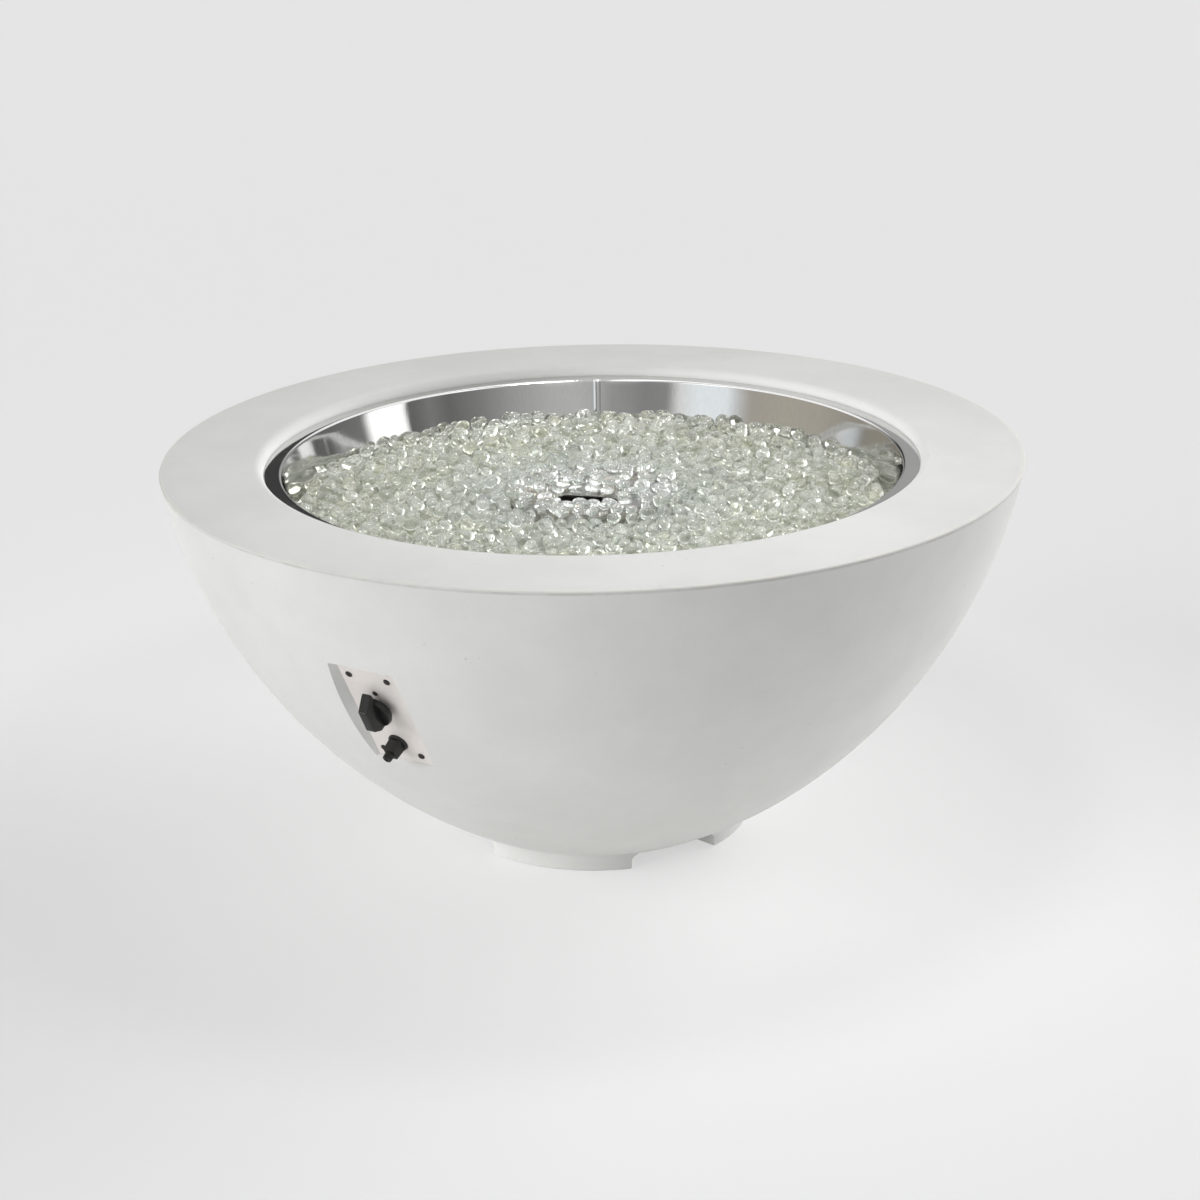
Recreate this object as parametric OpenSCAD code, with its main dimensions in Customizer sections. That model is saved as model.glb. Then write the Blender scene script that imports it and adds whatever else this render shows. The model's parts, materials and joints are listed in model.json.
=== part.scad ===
// Gas fire pit: a cast concrete bowl with a drop-in burner pan, fire glass and a control panel.
// Millimetres. The bowl's axis is Z, the floor is z = 0 and the control panel faces -Y.

/* [Bowl] */
// Diameter over the rim
rim_d = 1067; // [1040:1:1100]
// Height from the floor to the top of the rim
bowl_h = 490; // [470:1:520]
// Diameter of the base, where the side meets it
base_d = 386.5; // [360:0.5:410]
// Bulge of the side out from a straight line
side_bulge = 65.1; // [50:0.1:80]
// Thickness of the cast side
bowl_wall = 26; // [24:1:32]
// Thickness of the rim slab
rim_slab = 40; // [34:1:52]
// Diameter of the opening in the rim
opening_d = 816; // [806:1:830]
// Radius of the rounded inner lip
lip_r = 11; // [6:1:13]
// Radius of the rim's outer edge
rim_edge_r = 3; // [1:0.5:6]
// Width of the ledge that carries the pan
ledge_w = 16; // [12:1:19]
// Thickness of the base
base_t = 32; // [26:1:42]
// Diameter of the gas entry in the base
entry_d = 200; // [140:1:240]

/* [Feet] */
// Number of cast feet
foot_count = 4; // [3:1:4]
// Height of the feet
foot_h = 20; // [14:1:28]
// Arc that each foot covers, in degrees
foot_sweep = 52; // [44:1:64]
// Thickness of a foot, measured outwards
foot_w = 40; // [30:1:46]
// Turn of the first foot from the panel, in degrees
foot_turn = 16.5; // [0:0.5:40]
// Radius of the cove between foot and bowl
foot_cove_r = 22; // [16:1:24]

/* [Burner pan] */
// Width of the flange that rests on the ledge
flange_w = 21; // [20:1:22]
// Depth of the flange's top below the rim
flange_drop = 14; // [12:0.5:18]
// Sheet thickness
pan_t = 1.5; // [1:0.1:2]
// Depth of the pan below its flange
pan_depth = 76; // [70:1:90]
// Draft of the pan's wall, in degrees
pan_draft = 12; // [8:0.5:15]
// Bend radius at the flange
flange_bend_r = 4; // [3:0.5:6]
// Bend radius at the floor
floor_bend_r = 9; // [6:0.5:14]
// Number of drain holes
drain_count = 8; // [4:1:12]
// Diameter of a drain hole
drain_d = 5; // [3:0.5:8]

/* [Burner] */
// Diameter of the burner drum
drum_d = 200; // [180:1:220]
// Height of the drum
drum_h = 30; // [26:1:34]
// Turn of the burner about its axis, in degrees
burner_turn = 18; // [0:1:40]
// Length of the ignition slot
slot_l = 76; // [60:1:84]
// Width of the ignition slot
slot_w = 24; // [16:1:30]
// Distance of the slot from the burner's centre
slot_out = 30; // [22:1:34]
// Number of ports in the top plate
port_count = 28; // [16:1:36]
// Diameter of a port
port_d = 4; // [2:0.5:6]
// Diameter of the deflector over the gas inlet
deflector_d = 44; // [36:1:46]

/* [Fire glass] */
// Depth of the glass below the rim
glass_drop = 54; // [50:1:57]
// Height of the beads that stand out of the bed
bead_rise = 5; // [2:0.5:6]
// Gap left clear of glass round the ignition slot
slot_clear = 3; // [1:0.5:5]

/* [Control panel] */
// Width of the plate
panel_w = 76; // [70:1:82]
// Height of the plate
panel_h = 152; // [150:1:164]
// Thickness of the plate
panel_t = 2; // [1.5:0.1:3]
// Height of the plate's centre, as a share of the bowl's height
panel_rise = 0.599; // [0.58:0.001:0.62]
// How far the plate lies behind the bowl's side
panel_sink = 12.2; // [9:0.1:14]
// How much more upright the plate stands than the side, in degrees
panel_tip = 0.76; // [0:0.02:3]
// Width of the slope round the plate
pocket_slope = 14; // [8:0.5:16]
// Spacing of the plate's screws across
screw_span_x = 52; // [48:0.5:56]
// Spacing of the plate's screws along
screw_span_y = 125; // [122:0.5:128]

/* [Knob and valve] */
// Height of the knob's axis above the plate's centre
knob_up = 17; // [14:0.5:20]
// Diameter of the knob's skirt
knob_d = 40; // [36:1:44]
// Height of the knob's face above the plate
knob_h = 29.5; // [26:0.5:32]
// Width of the grip bar
grip_w = 12.5; // [10:0.5:15]
// Length of the grip bar's face
grip_l = 30; // [24:0.5:32]
// How far the grip's nose reaches from the knob's axis
nose_l = 31; // [26:0.5:33]
// How far the knob pushes in
knob_push = 3; // [2:0.1:3.3]
// Diameter of the valve stem
stem_d = 8; // [7:0.5:9]
// Width of the valve body
valve_w = 30; // [27:1:34]
// Height of the valve body
valve_h = 49; // [46:1:52]

/* [Igniter] */
// Drop of the igniter's axis below the plate's centre
igniter_down = 46; // [44:0.5:47]
// Diameter of the igniter's flange
igniter_d = 25; // [24:0.5:27]
// Diameter of the push button
button_d = 11; // [9:0.5:12]
// How far the button stands out of the neck
button_out = 8; // [6:0.5:11]
// How far the button pushes in
button_push = 4.5; // [2:0.1:4.8]
// Side of the square neck
neck_w = 16; // [15:0.5:18]
// Length of the square neck
neck_l = 16; // [12:0.5:20]

/* [Clearances] */
// Running gap of a turning or sliding shaft, on the radius
run_gap = 0.05; // [0.02:0.01:0.1]
// Gap between pieces that move past each other
move_gap = 0.4; // [0.3:0.1:0.6]
// Gap round a fixed piece in its hole
fit_gap = 0.3; // [0.2:0.1:0.5]
// Gap round the plate in its pocket, and round the pan's flange
seat_gap = 1.5; // [1:0.1:2.5]

/* [Hidden] */
$fn = 96;
eps = 0.01;
through = 60;

concrete = [0.83, 0.83, 0.82];
steel = [0.72, 0.72, 0.72];
brass = [0.78, 0.64, 0.33];
black = [0.16, 0.16, 0.15];
glass_tint = [0.78, 0.82, 0.79];
porcelain = [0.93, 0.92, 0.89];
battery_grey = [0.3, 0.32, 0.34];
red_sleeve = [0.55, 0.2, 0.15];
green_sleeve = [0.2, 0.35, 0.2];
pointer_grey = [0.85, 0.83, 0.8];

// Bowl section
rim_r = rim_d / 2;
base_r = base_d / 2;
side_low = [base_r, foot_h];
side_high = [rim_r, bowl_h];
side_chord = norm(side_high - side_low);
side_arc_r = pow(side_chord, 2) / (8 * side_bulge) + side_bulge / 2;
side_out = [side_high[1] - side_low[1], side_low[0] - side_high[0]] / side_chord;
side_c = (side_low + side_high) / 2 - (side_arc_r - side_bulge) * side_out;
base_top = foot_h + base_t;
slab_under = bowl_h - rim_slab;
opening_r = opening_d / 2;
ledge_z = bowl_h - flange_drop - pan_t;
ledge_r = opening_r - ledge_w;
function side_r(z, arc_r) = side_c[0] + sqrt(pow(arc_r, 2) - pow(z - side_c[1], 2));
foot_reach = 3.75;
foot_r = base_r + foot_reach;
foot_top_r = foot_r + foot_cove_r;
foot_bite = 16;
foot_rise = foot_h + foot_bite;

// Pan section
flange_z = bowl_h - flange_drop;
flange_r = opening_r - seat_gap;
pan_r = flange_r - flange_w;
floor_z = flange_z - pan_depth;
flange_c = [pan_r + flange_bend_r, flange_z - flange_bend_r];
bend_sum = flange_bend_r + floor_bend_r;
wall_run = (pan_depth - bend_sum + bend_sum * sin(pan_draft)) / cos(pan_draft);
floor_c = [
    flange_c[0] - bend_sum * cos(pan_draft) - wall_run * sin(pan_draft),
    floor_z + floor_bend_r
];

// Burner
drum_r = drum_d / 2;
drum_t = 1.5;
drum_foot_w = 14;
plate_z = floor_z + drum_h;
plate_t = 1.5;
plate_top = plate_z + plate_t;
plate_lip = 10;
plate_r = drum_r + fit_gap + plate_t;
bolt_ring_r = drum_r + drum_foot_w / 2;
bolt_count = 3;
bolt_r = 2.5;
bolt_head_r = 4.5;
bolt_head_h = 3;
nut_af = 8;
nut_t = 4;
slot_dir = [sin(burner_turn), -cos(burner_turn)];
electrode_at = [
    slot_out * slot_dir[0] + slot_l / 3 * cos(burner_turn),
    slot_out * slot_dir[1] + slot_l / 3 * sin(burner_turn)
];

// Gas train below the pan
nipple_r = 10.5;
nipple_bore_r = 7.5;
nipple_hex = 30;
nipple_hex_t = 8;
nipple_up = 12;
nipple_down = 20;
pan_under = floor_z - pan_t;
hex_under = pan_under - nipple_hex_t;
mixer_r = 15;
mixer_l = 62;
mixer_wall = 4.2;
mixer_top = hex_under;
mixer_bottom = mixer_top - mixer_l;
mixer_floor_t = 8;
air_hole_d = 9;
orifice_r = 6;
orifice_up = 14;
orifice_bore_r = 0.9;
orifice_hex = 17;
orifice_hex_t = 6;
elbow_r = 10;
elbow_drop = 22;
elbow_z = mixer_bottom - orifice_hex_t - elbow_drop;
elbow_bore_r = 4;
elbow_out = 34;
hose_r = 7;
elbow_nut = 24;

// Panel frame: X across the plate, Y up it, Z out of its front face
panel_z = panel_rise * bowl_h;
panel_lean = asin((side_c[1] - panel_z) / side_arc_r) - panel_tip;
panel_out = side_r(panel_z, side_arc_r) - panel_sink;
seat_z = -panel_t;
knob_axis = [0, knob_up];
igniter_axis = [0, -igniter_down];
panel_screw_r = 2.2;
panel_screw_head_r = 4.2;
panel_screw_head_h = 2;
panel_screw_l = 9;
valve_screw_r = 1.9;
valve_screw_span = valve_h - 9;
window_w = valve_w + 10;
window_up = knob_up + valve_h / 2 + 3;
igniter_flange_w = 1.8;
igniter_bore_r = igniter_d / 2 - igniter_flange_w;
igniter_nut_r = igniter_bore_r + 3;
pocket_out = 26;

// Valve, along the knob's axis
bonnet_t = 5;
bonnet_back = seat_z - bonnet_t;
stem_r = stem_d / 2;
collar_r = stem_r + 2.5;
collar_t = 3;
chamber_r = collar_r + 2.5;
chamber_l = 20;
chamber_end = bonnet_back - chamber_l;
collar_front = bonnet_back - move_gap;
collar_back = collar_front - collar_t;
cup_t = 1.7;
cup_front = collar_back - move_gap;
cup_back = cup_front - cup_t;
stem_tail = 13;
stem_end = collar_back - stem_tail;
knob_face_t = 8;
stem_front = knob_h - knob_face_t;
tongue_t = 2.4;
tongue_l = 8;
plug_r = 7;
plug_l = 19;
plug_front = chamber_end - move_gap;
plug_back = plug_front - plug_l;
plug_slot_l = tongue_l + knob_push + 2;
valve_floor_t = 7;
valve_back = plug_back - valve_floor_t;
port_z = plug_back + 4;
valve_bore_r = 3;
valve_corner_r = 6;
fitting_r = 7.5;
fitting_l = 16;
fitting_hex = 19;
fitting_hex_t = 10;
spring_wire_r = 0.6;
spring_turns = 6;
spring_mean_r = (chamber_r + stem_r) / 2;
knob_foot = knob_push + 1;
hub_h = 5;
knob_hub_r = 11;
skirt_h = 5;
skirt_low = knob_foot + hub_h;
skirt_top = skirt_low + skirt_h;
grip_bite = 3;
grip_shift = 3.5;
grip_shoulder = 9.5;
nose_t = 2.5;
nose_slope = atan2(knob_h - skirt_top, nose_l - grip_l / 2 - grip_shift);
pointer_edge = 0.4;
pointer_w = grip_w - 3;
pointer_l = 1.4;
pointer_t = 1;

// Igniter, along its own axis
igniter_flange_t = 3;
igniter_bevel = 1.7;
neck_taper = 1.6;
button_bevel = 1.5;
housing_wall = 2.6;
housing_in_r = igniter_bore_r - housing_wall;
cap_skirt_l = 7;
cap_skirt_r = housing_in_r - fit_gap;
cap_end = igniter_flange_t + neck_l;
button_r = button_d / 2;
button_bore_r = button_r + move_gap;
retainer_t = 2.5;
retainer_r = button_r + 1;
retainer_bore_r = retainer_r + move_gap;
retainer_front = igniter_flange_t + 1;
button_back = retainer_front - move_gap - retainer_t;
button_front = cap_end + button_out;
battery_r = 5.25;
battery_l = 44.5;
spring_room = 11.5;
battery_front = button_back - button_push - spring_room;
battery_back = battery_front - battery_l;
housing_l = housing_wall - battery_back;
battery_tip_r = 1.9;
battery_tip_h = 1;
nut_gap_t = 6;

// Electrode
insulator_r = 4.5;
insulator_down = 15;
insulator_up = 15;
insulator_collar_r = 6.5;
insulator_collar_t = 4;
rod_r = 1.2;
rod_up = 23;
rod_down = 20;
rod_tip_l = 8;
rod_bend_r = 3;
bracket_t = 1.5;
bracket_foot = 11;

// Fire glass bed
glass_z = bowl_h - glass_drop;
glass_sides = 80;
glass_ring = 15;
glass_gap = 0.4;
hub_rings = 4;
hub_ring_r = slot_out + slot_w / 2 + 20;
hub_glass_z = plate_top + bead_rise + 1.5;

// Routes inside the bowl, chosen by hand
wire_r = 1.6;
hose_sides = 10;
wire_sides = 8;
route_steps = 8;

// Places of the panel frame's points in the bowl's frame
function panel_point(p) = [
    p[0],
    -panel_out - sin(panel_lean) * p[1] - cos(panel_lean) * p[2],
    panel_z + cos(panel_lean) * p[1] - sin(panel_lean) * p[2]
];
panel_in = [0, cos(panel_lean), sin(panel_lean)];

// A point a share of the way from a to b
function between(a, b, share) = a + (b - a) * share;

outlet_end = panel_point([valve_w / 2 + fitting_hex_t + fitting_l, knob_up, port_z]);
elbow_end = [0, -elbow_out, elbow_z];
hose_start = outlet_end + [fit_gap, 0, 0];
hose_stop = elbow_end - [0, fit_gap, 0];
hose_route = [
    hose_start,
    hose_start + [10, 0, 0],
    hose_start + [22, 0, 0],
    between(hose_start, hose_stop, 0.08) + [82, 0, -8],
    between(hose_start, hose_stop, 0.32) + [84, 0, -11],
    between(hose_start, hose_stop, 0.60) + [43, 0, -7],
    between(hose_start, hose_stop, 0.78) + [5, 0, -6],
    hose_stop + [0, -32, 0],
    hose_stop + [0, -14, 0],
    hose_stop
];

lead_start = panel_point([4, -igniter_down, -housing_l - fit_gap]);
lead_stop = [electrode_at[0], electrode_at[1], floor_z - rod_down - fit_gap];
lead_route = [
    lead_start,
    lead_start + 14 * panel_in,
    between(lead_start, lead_stop, 0.21) + [4, 0, 20],
    between(lead_start, lead_stop, 0.61) + [14, 0, 5],
    lead_stop + [2, -30, -24],
    lead_stop + [0, 0, -12],
    lead_stop
];

ground_start = panel_point([-4, -igniter_down, -housing_l - fit_gap]);
ground_stop = [-44, -70, pan_under - fit_gap];
ground_route = [
    ground_start,
    ground_start + 14 * panel_in,
    between(ground_start, ground_stop, 0.24) + [-2, 0, 10],
    between(ground_start, ground_stop, 0.67) + [-9, 0, -18],
    ground_stop + [0, -20, -30],
    ground_stop + [0, 0, -12],
    ground_stop
];

// Points on an arc, from angle a0 to a1
function arc(c, r, a0, a1, n) = [
    for (i = [0:n]) c + r * [cos(a0 + (a1 - a0) * i / n), sin(a0 + (a1 - a0) * i / n)]
];
function reversed(v) = [for (i = [len(v) - 1:-1:0]) v[i]];

// A smooth curve through a list of points
function spline_point(a, b, c, d, t) =
    0.5 * ((2 * b) + (c - a) * t + (2 * a - 5 * b + 4 * c - d) * t * t
    + (3 * b - a - 3 * c + d) * t * t * t);
function smooth_route(p, n) = concat(
    [for (i = [0:len(p) - 2]) for (k = [0:n - 1])
        spline_point(p[max(i - 1, 0)], p[i], p[i + 1], p[min(i + 2, len(p) - 1)], k / n)],
    [p[len(p) - 1]]
);
function unit(v) = v / norm(v);

// A round tube along a list of points, with flat ends. Its path never runs along the vector aside.
module tube(path, r, sides, aside) {
    n = len(path);
    dirs = [for (i = [0:n - 1]) unit(path[min(i + 1, n - 1)] - path[max(i - 1, 0)])];
    rings = [for (i = [0:n - 1]) for (k = [0:sides - 1])
        let (u = unit(cross(dirs[i], aside)), v = cross(dirs[i], u), a = 360 * k / sides)
        path[i] + r * (cos(a) * u + sin(a) * v)];
    walls = [for (i = [0:n - 2]) for (k = [0:sides - 1])
        let (a = i * sides + k, b = i * sides + (k + 1) % sides)
        each [[a, b, a + sides], [b, b + sides, a + sides]]];
    first = [for (k = [1:sides - 2]) [0, k + 1, k]];
    end = (n - 1) * sides;
    last = [for (k = [1:sides - 2]) [end, end + k, end + k + 1]];
    polyhedron(rings, concat(walls, first, last));
}

// A coil spring along Z from z0 to z1
module coil(z0, z1, r, wire, turns) {
    turn_steps = 10;
    steps = turns * turn_steps;
    path = [for (i = [0:steps]) [
        r * cos(360 * i / turn_steps),
        r * sin(360 * i / turn_steps),
        z0 + wire + (z1 - z0 - 2 * wire) * i / steps
    ]];
    tube(path, wire, 6, [0, 0, 1]);
}

module hex_bar(af, h) {
    cylinder(d = af / cos(30), h = h, $fn = 6);
}

// The panel's own frame
module at_panel() {
    translate([0, -panel_out, panel_z]) rotate([90 + panel_lean, 0, 0]) children();
}

module at_knob() {
    at_panel() translate([knob_axis[0], knob_axis[1], 0]) children();
}

module at_igniter() {
    at_panel() translate([igniter_axis[0], igniter_axis[1], 0]) children();
}

module at_panel_screws() {
    for (x = [-1, 1]) for (y = [-1, 1])
        translate([x * screw_span_x / 2, y * screw_span_y / 2, 0]) children();
}

module at_valve_screws() {
    for (y = [-1, 1]) translate([0, y * valve_screw_span / 2, 0]) children();
}

module at_bolts() {
    for (i = [0:bolt_count - 1])
        rotate([0, 0, burner_turn + 60 + 360 * i / bolt_count]) translate([bolt_ring_r, 0, 0]) children();
}

module slot_outline(l, w) {
    for (s = [-1, 1]) translate([s * (l - w) / 2, 0]) circle(d = w);
    square([l - w, w], center = true);
}

// Bowl
module outer_section() {
    difference() {
        intersection() {
            translate(side_c) circle(r = side_arc_r, $fn = 180);
            translate([0, foot_h]) square([rim_r, bowl_h - foot_h]);
        }
        translate([rim_r - rim_edge_r, bowl_h - rim_edge_r]) difference() {
            square(rim_edge_r + 1);
            circle(r = rim_edge_r);
        }
    }
}

module hollow_section() {
    intersection() {
        translate(side_c) circle(r = side_arc_r - bowl_wall, $fn = 180);
        translate([0, base_top]) square([rim_r, slab_under - base_top]);
    }
    translate([0, slab_under - 1]) square([ledge_r, rim_slab]);
    translate([0, ledge_z]) square([opening_r, bowl_h]);
    translate([opening_r, bowl_h - lip_r]) difference() {
        square([lip_r, lip_r + 1]);
        translate([lip_r, 0]) circle(r = lip_r);
    }
    square([entry_d / 2, base_top + 1]);
}

module foot_section() {
    translate([foot_r - foot_w, 0]) square([foot_w, foot_rise]);
    difference() {
        translate([foot_r - 1, foot_rise - foot_cove_r]) square([foot_cove_r + 1, foot_cove_r]);
        translate([foot_top_r, foot_rise - foot_cove_r]) circle(r = foot_cove_r);
    }
}

module pocket() {
    w = panel_w + 2 * seat_gap;
    h = panel_h + 2 * seat_gap;
    hull() {
        translate([-w / 2, -h / 2, seat_z]) cube([w, h, 0.1]);
        translate([-w / 2 - 2 * pocket_slope, -h / 2 - pocket_slope, pocket_out])
            cube([w + 4 * pocket_slope, h + 3 * pocket_slope, 0.1]);
    }
    translate([-window_w / 2, -igniter_down, seat_z - through])
        cube([window_w, igniter_down + window_up, through + eps]);
    translate([igniter_axis[0], igniter_axis[1], seat_z - through])
        cylinder(r = igniter_nut_r + 1.5, h = through + eps);
    at_panel_screws() translate([0, 0, seat_z - panel_screw_l - 1])
        cylinder(r = panel_screw_r + fit_gap, h = panel_screw_l + 2);
}

module bowl() {
    color(concrete) difference() {
        rotate_extrude($fn = 180) difference() {
            outer_section();
            hollow_section();
        }
        at_panel() pocket();
    }
}

// The feet end where the bowl's side begins
module bowl_feet() {
    color(concrete) difference() {
        for (i = [0:foot_count - 1])
            rotate([0, 0, foot_turn - 90 - foot_sweep / 2 + 360 * i / foot_count])
                rotate_extrude(angle = foot_sweep, $fn = 180) foot_section();
        rotate_extrude($fn = 180) outer_section();
    }
}

// Burner pan: a rolled wall with its flange, and a dished floor butted to the wall's foot
pan_bend = [90, 180 - pan_draft];
pan_foot = [-pan_draft, -90];
pan_butt = [cos(pan_draft), -sin(pan_draft)];

module wall_section() {
    polygon(concat(
        [[flange_r, flange_z]],
        arc(flange_c, flange_bend_r, pan_bend[0], pan_bend[1], 6),
        [floor_c + floor_bend_r * pan_butt, floor_c + (floor_bend_r + pan_t) * pan_butt],
        reversed(arc(flange_c, flange_bend_r - pan_t, pan_bend[0], pan_bend[1], 6)),
        [[flange_r, flange_z - pan_t]]
    ));
}

module floor_section() {
    polygon(concat(
        arc(floor_c, floor_bend_r, pan_foot[0], pan_foot[1], 8),
        [[0, floor_z], [0, pan_under]],
        reversed(arc(floor_c, floor_bend_r + pan_t, pan_foot[0], pan_foot[1], 8))
    ));
}

module burner_pan() {
    color(steel) rotate_extrude() wall_section();
}

module pan_floor() {
    drain_r = (drum_r + floor_c[0]) / 2;
    color(steel) difference() {
        rotate_extrude() floor_section();
        translate([0, 0, pan_under - 1]) cylinder(r = nipple_r + fit_gap, h = pan_t + 2);
        translate([electrode_at[0], electrode_at[1], pan_under - 1])
            cylinder(r = insulator_r + fit_gap, h = pan_t + 2);
        at_bolts() translate([0, 0, pan_under - 1]) cylinder(r = bolt_r + fit_gap, h = pan_t + 2);
        for (i = [0:drain_count - 1]) rotate([0, 0, 360 * i / drain_count])
            translate([drain_r, 0, pan_under - 1]) cylinder(d = drain_d, h = pan_t + 2);
    }
}

// Burner
module burner_drum() {
    side_port_count = 24;
    side_port_d = 3;
    color(steel) difference() {
        rotate_extrude() {
            translate([drum_r - drum_t, floor_z]) square([drum_t, drum_h]);
            translate([drum_r - drum_t, floor_z]) square([drum_foot_w + drum_t, drum_t]);
        }
        at_bolts() translate([0, 0, floor_z - 1]) cylinder(r = bolt_r + fit_gap, h = drum_t + 2);
        for (i = [0:side_port_count - 1]) rotate([0, 0, 360 * i / side_port_count])
            translate([drum_r - 2 * drum_t, 0, floor_z + drum_h / 2]) rotate([0, 90, 0])
                cylinder(d = side_port_d, h = 3 * drum_t);
    }
}

module burner_plate() {
    port_ring_r = drum_r - 10;
    color(steel) difference() {
        union() {
            translate([0, 0, plate_z]) cylinder(r = plate_r, h = plate_t);
            rotate_extrude() translate([drum_r + fit_gap, plate_z - plate_lip])
                square([plate_t, plate_lip + eps]);
        }
        translate([slot_out * slot_dir[0], slot_out * slot_dir[1], plate_z - 1])
            rotate([0, 0, burner_turn]) linear_extrude(plate_t + 2) slot_outline(slot_l, slot_w);
        for (i = [0:port_count - 1]) rotate([0, 0, 360 * (i + 0.5) / port_count])
            translate([port_ring_r, 0, plate_z - 1]) cylinder(d = port_d, h = plate_t + 2);
    }
}

module burner_bolts() {
    color(steel) at_bolts() {
        translate([0, 0, floor_z + drum_t]) cylinder(r = bolt_head_r, h = bolt_head_h);
        translate([0, 0, pan_under - nut_t - 2]) cylinder(r = bolt_r, h = nut_t + 2 + pan_t + drum_t + 1);
    }
}

module burner_nuts() {
    color(steel) at_bolts() translate([0, 0, pan_under - nut_t]) difference() {
        hex_bar(nut_af, nut_t);
        translate([0, 0, -1]) cylinder(r = bolt_r + run_gap, h = nut_t + 2);
    }
}

module deflector() {
    sheet = 1.2;
    top = floor_z + drum_h - 8;
    leg_w = 8;
    color(steel) {
        translate([0, 0, top - sheet]) cylinder(d = deflector_d, h = sheet);
        for (i = [0:2]) rotate([0, 0, burner_turn - 30 + 120 * i])
            translate([deflector_d / 2 - sheet - 1, -leg_w / 2, floor_z])
                cube([sheet, leg_w, top - floor_z - sheet / 2]);
    }
}

// Gas train
module inlet_nipple() {
    nipple_l = nipple_down + nipple_hex_t + pan_t + nipple_up;
    color(brass) difference() {
        union() {
            translate([0, 0, hex_under]) hex_bar(nipple_hex, nipple_hex_t);
            translate([0, 0, hex_under - nipple_down]) cylinder(r = nipple_r, h = nipple_l);
        }
        translate([0, 0, hex_under - nipple_down - 1]) cylinder(r = nipple_bore_r, h = nipple_l + 2);
    }
}

module nipple_nut() {
    nipple_nut_af = 28;
    nipple_nut_t = 6;
    color(brass) translate([0, 0, floor_z]) difference() {
        hex_bar(nipple_nut_af, nipple_nut_t);
        translate([0, 0, -1]) cylinder(r = nipple_r + run_gap, h = nipple_nut_t + 2);
    }
}

module air_mixer() {
    color(brass) difference() {
        translate([0, 0, mixer_bottom]) cylinder(r = mixer_r, h = mixer_l);
        translate([0, 0, mixer_bottom + mixer_floor_t]) cylinder(r = nipple_r + run_gap, h = mixer_l);
        translate([0, 0, mixer_bottom - 1]) cylinder(r = orifice_r + run_gap, h = mixer_floor_t + 2);
        for (a = [0, 90]) rotate([0, 0, a + 45])
            translate([-mixer_r - 1, 0, mixer_bottom + mixer_floor_t + 14]) rotate([0, 90, 0])
                cylinder(d = air_hole_d, h = 2 * mixer_r + 2);
    }
}

module gas_orifice() {
    color(brass) difference() {
        union() {
            translate([0, 0, mixer_bottom - orifice_hex_t]) hex_bar(orifice_hex, orifice_hex_t);
            translate([0, 0, mixer_bottom - eps]) cylinder(r = orifice_r, h = orifice_up);
        }
        translate([0, 0, mixer_bottom - orifice_hex_t - 1]) {
            cylinder(r = orifice_bore_r, h = orifice_up + orifice_hex_t + 2);
            cylinder(r = orifice_r / 2, h = orifice_up);
        }
    }
}

module elbow_fitting() {
    top = mixer_bottom - orifice_hex_t;
    color(brass) difference() {
        union() {
            translate([0, 0, elbow_z]) cylinder(r = elbow_r, h = top - elbow_z);
            translate([0, 0, elbow_z]) sphere(r = elbow_r);
            translate([0, 0, elbow_z]) rotate([90, 0, 0]) cylinder(r = elbow_r - 1, h = elbow_out);
        }
        translate([0, 0, elbow_z]) cylinder(r = elbow_bore_r, h = top - elbow_z + 1);
        translate([0, 1, elbow_z]) rotate([90, 0, 0]) cylinder(r = elbow_bore_r, h = elbow_out + 2);
    }
}

module connector_hose() {
    color(steel) tube(smooth_route(hose_route, route_steps), hose_r, hose_sides, [0, 0, 1]);
}

module hose_nuts() {
    color(brass) {
        translate(outlet_end) rotate([0, -90, 0]) union_nut(fitting_hex, fitting_r);
        translate(elbow_end) rotate([-90, 0, 0]) union_nut(elbow_nut, elbow_r - 1);
    }
}

// A nut that lies from the end of a fitting back along it
module union_nut(af, thread_r) {
    difference() {
        hex_bar(af, fitting_l);
        translate([0, 0, -1]) cylinder(r = thread_r + run_gap, h = fitting_l + 2);
    }
}

// Fire glass: a bed whose top rises and falls with its beads
bead_seed = 42;
bead_heights = rands(0.3, 1, glass_sides * 64, bead_seed);
function bead(i, j) = bead_heights[i * glass_sides + j] * ((i + j) % 2 == 0 ? 1 : -1);

// The point of the clearing's edge that lies towards p from the slot's middle
function slot_edge(p) = let (
    to = p - slot_out * slot_dir,
    u = unit([to[0] * cos(burner_turn) + to[1] * sin(burner_turn), to * -slot_dir]),
    half = (slot_l - slot_w) / 2,
    w = slot_w / 2 + slot_clear,
    along = abs(u[0]) * half,
    round_end = along + sqrt(max(0, along * along - half * half + w * w)),
    reach = abs(u[1]) * half >= abs(u[0]) * w ? w / abs(u[1]) : round_end
) slot_out * slot_dir + unit(to) * reach;

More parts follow.
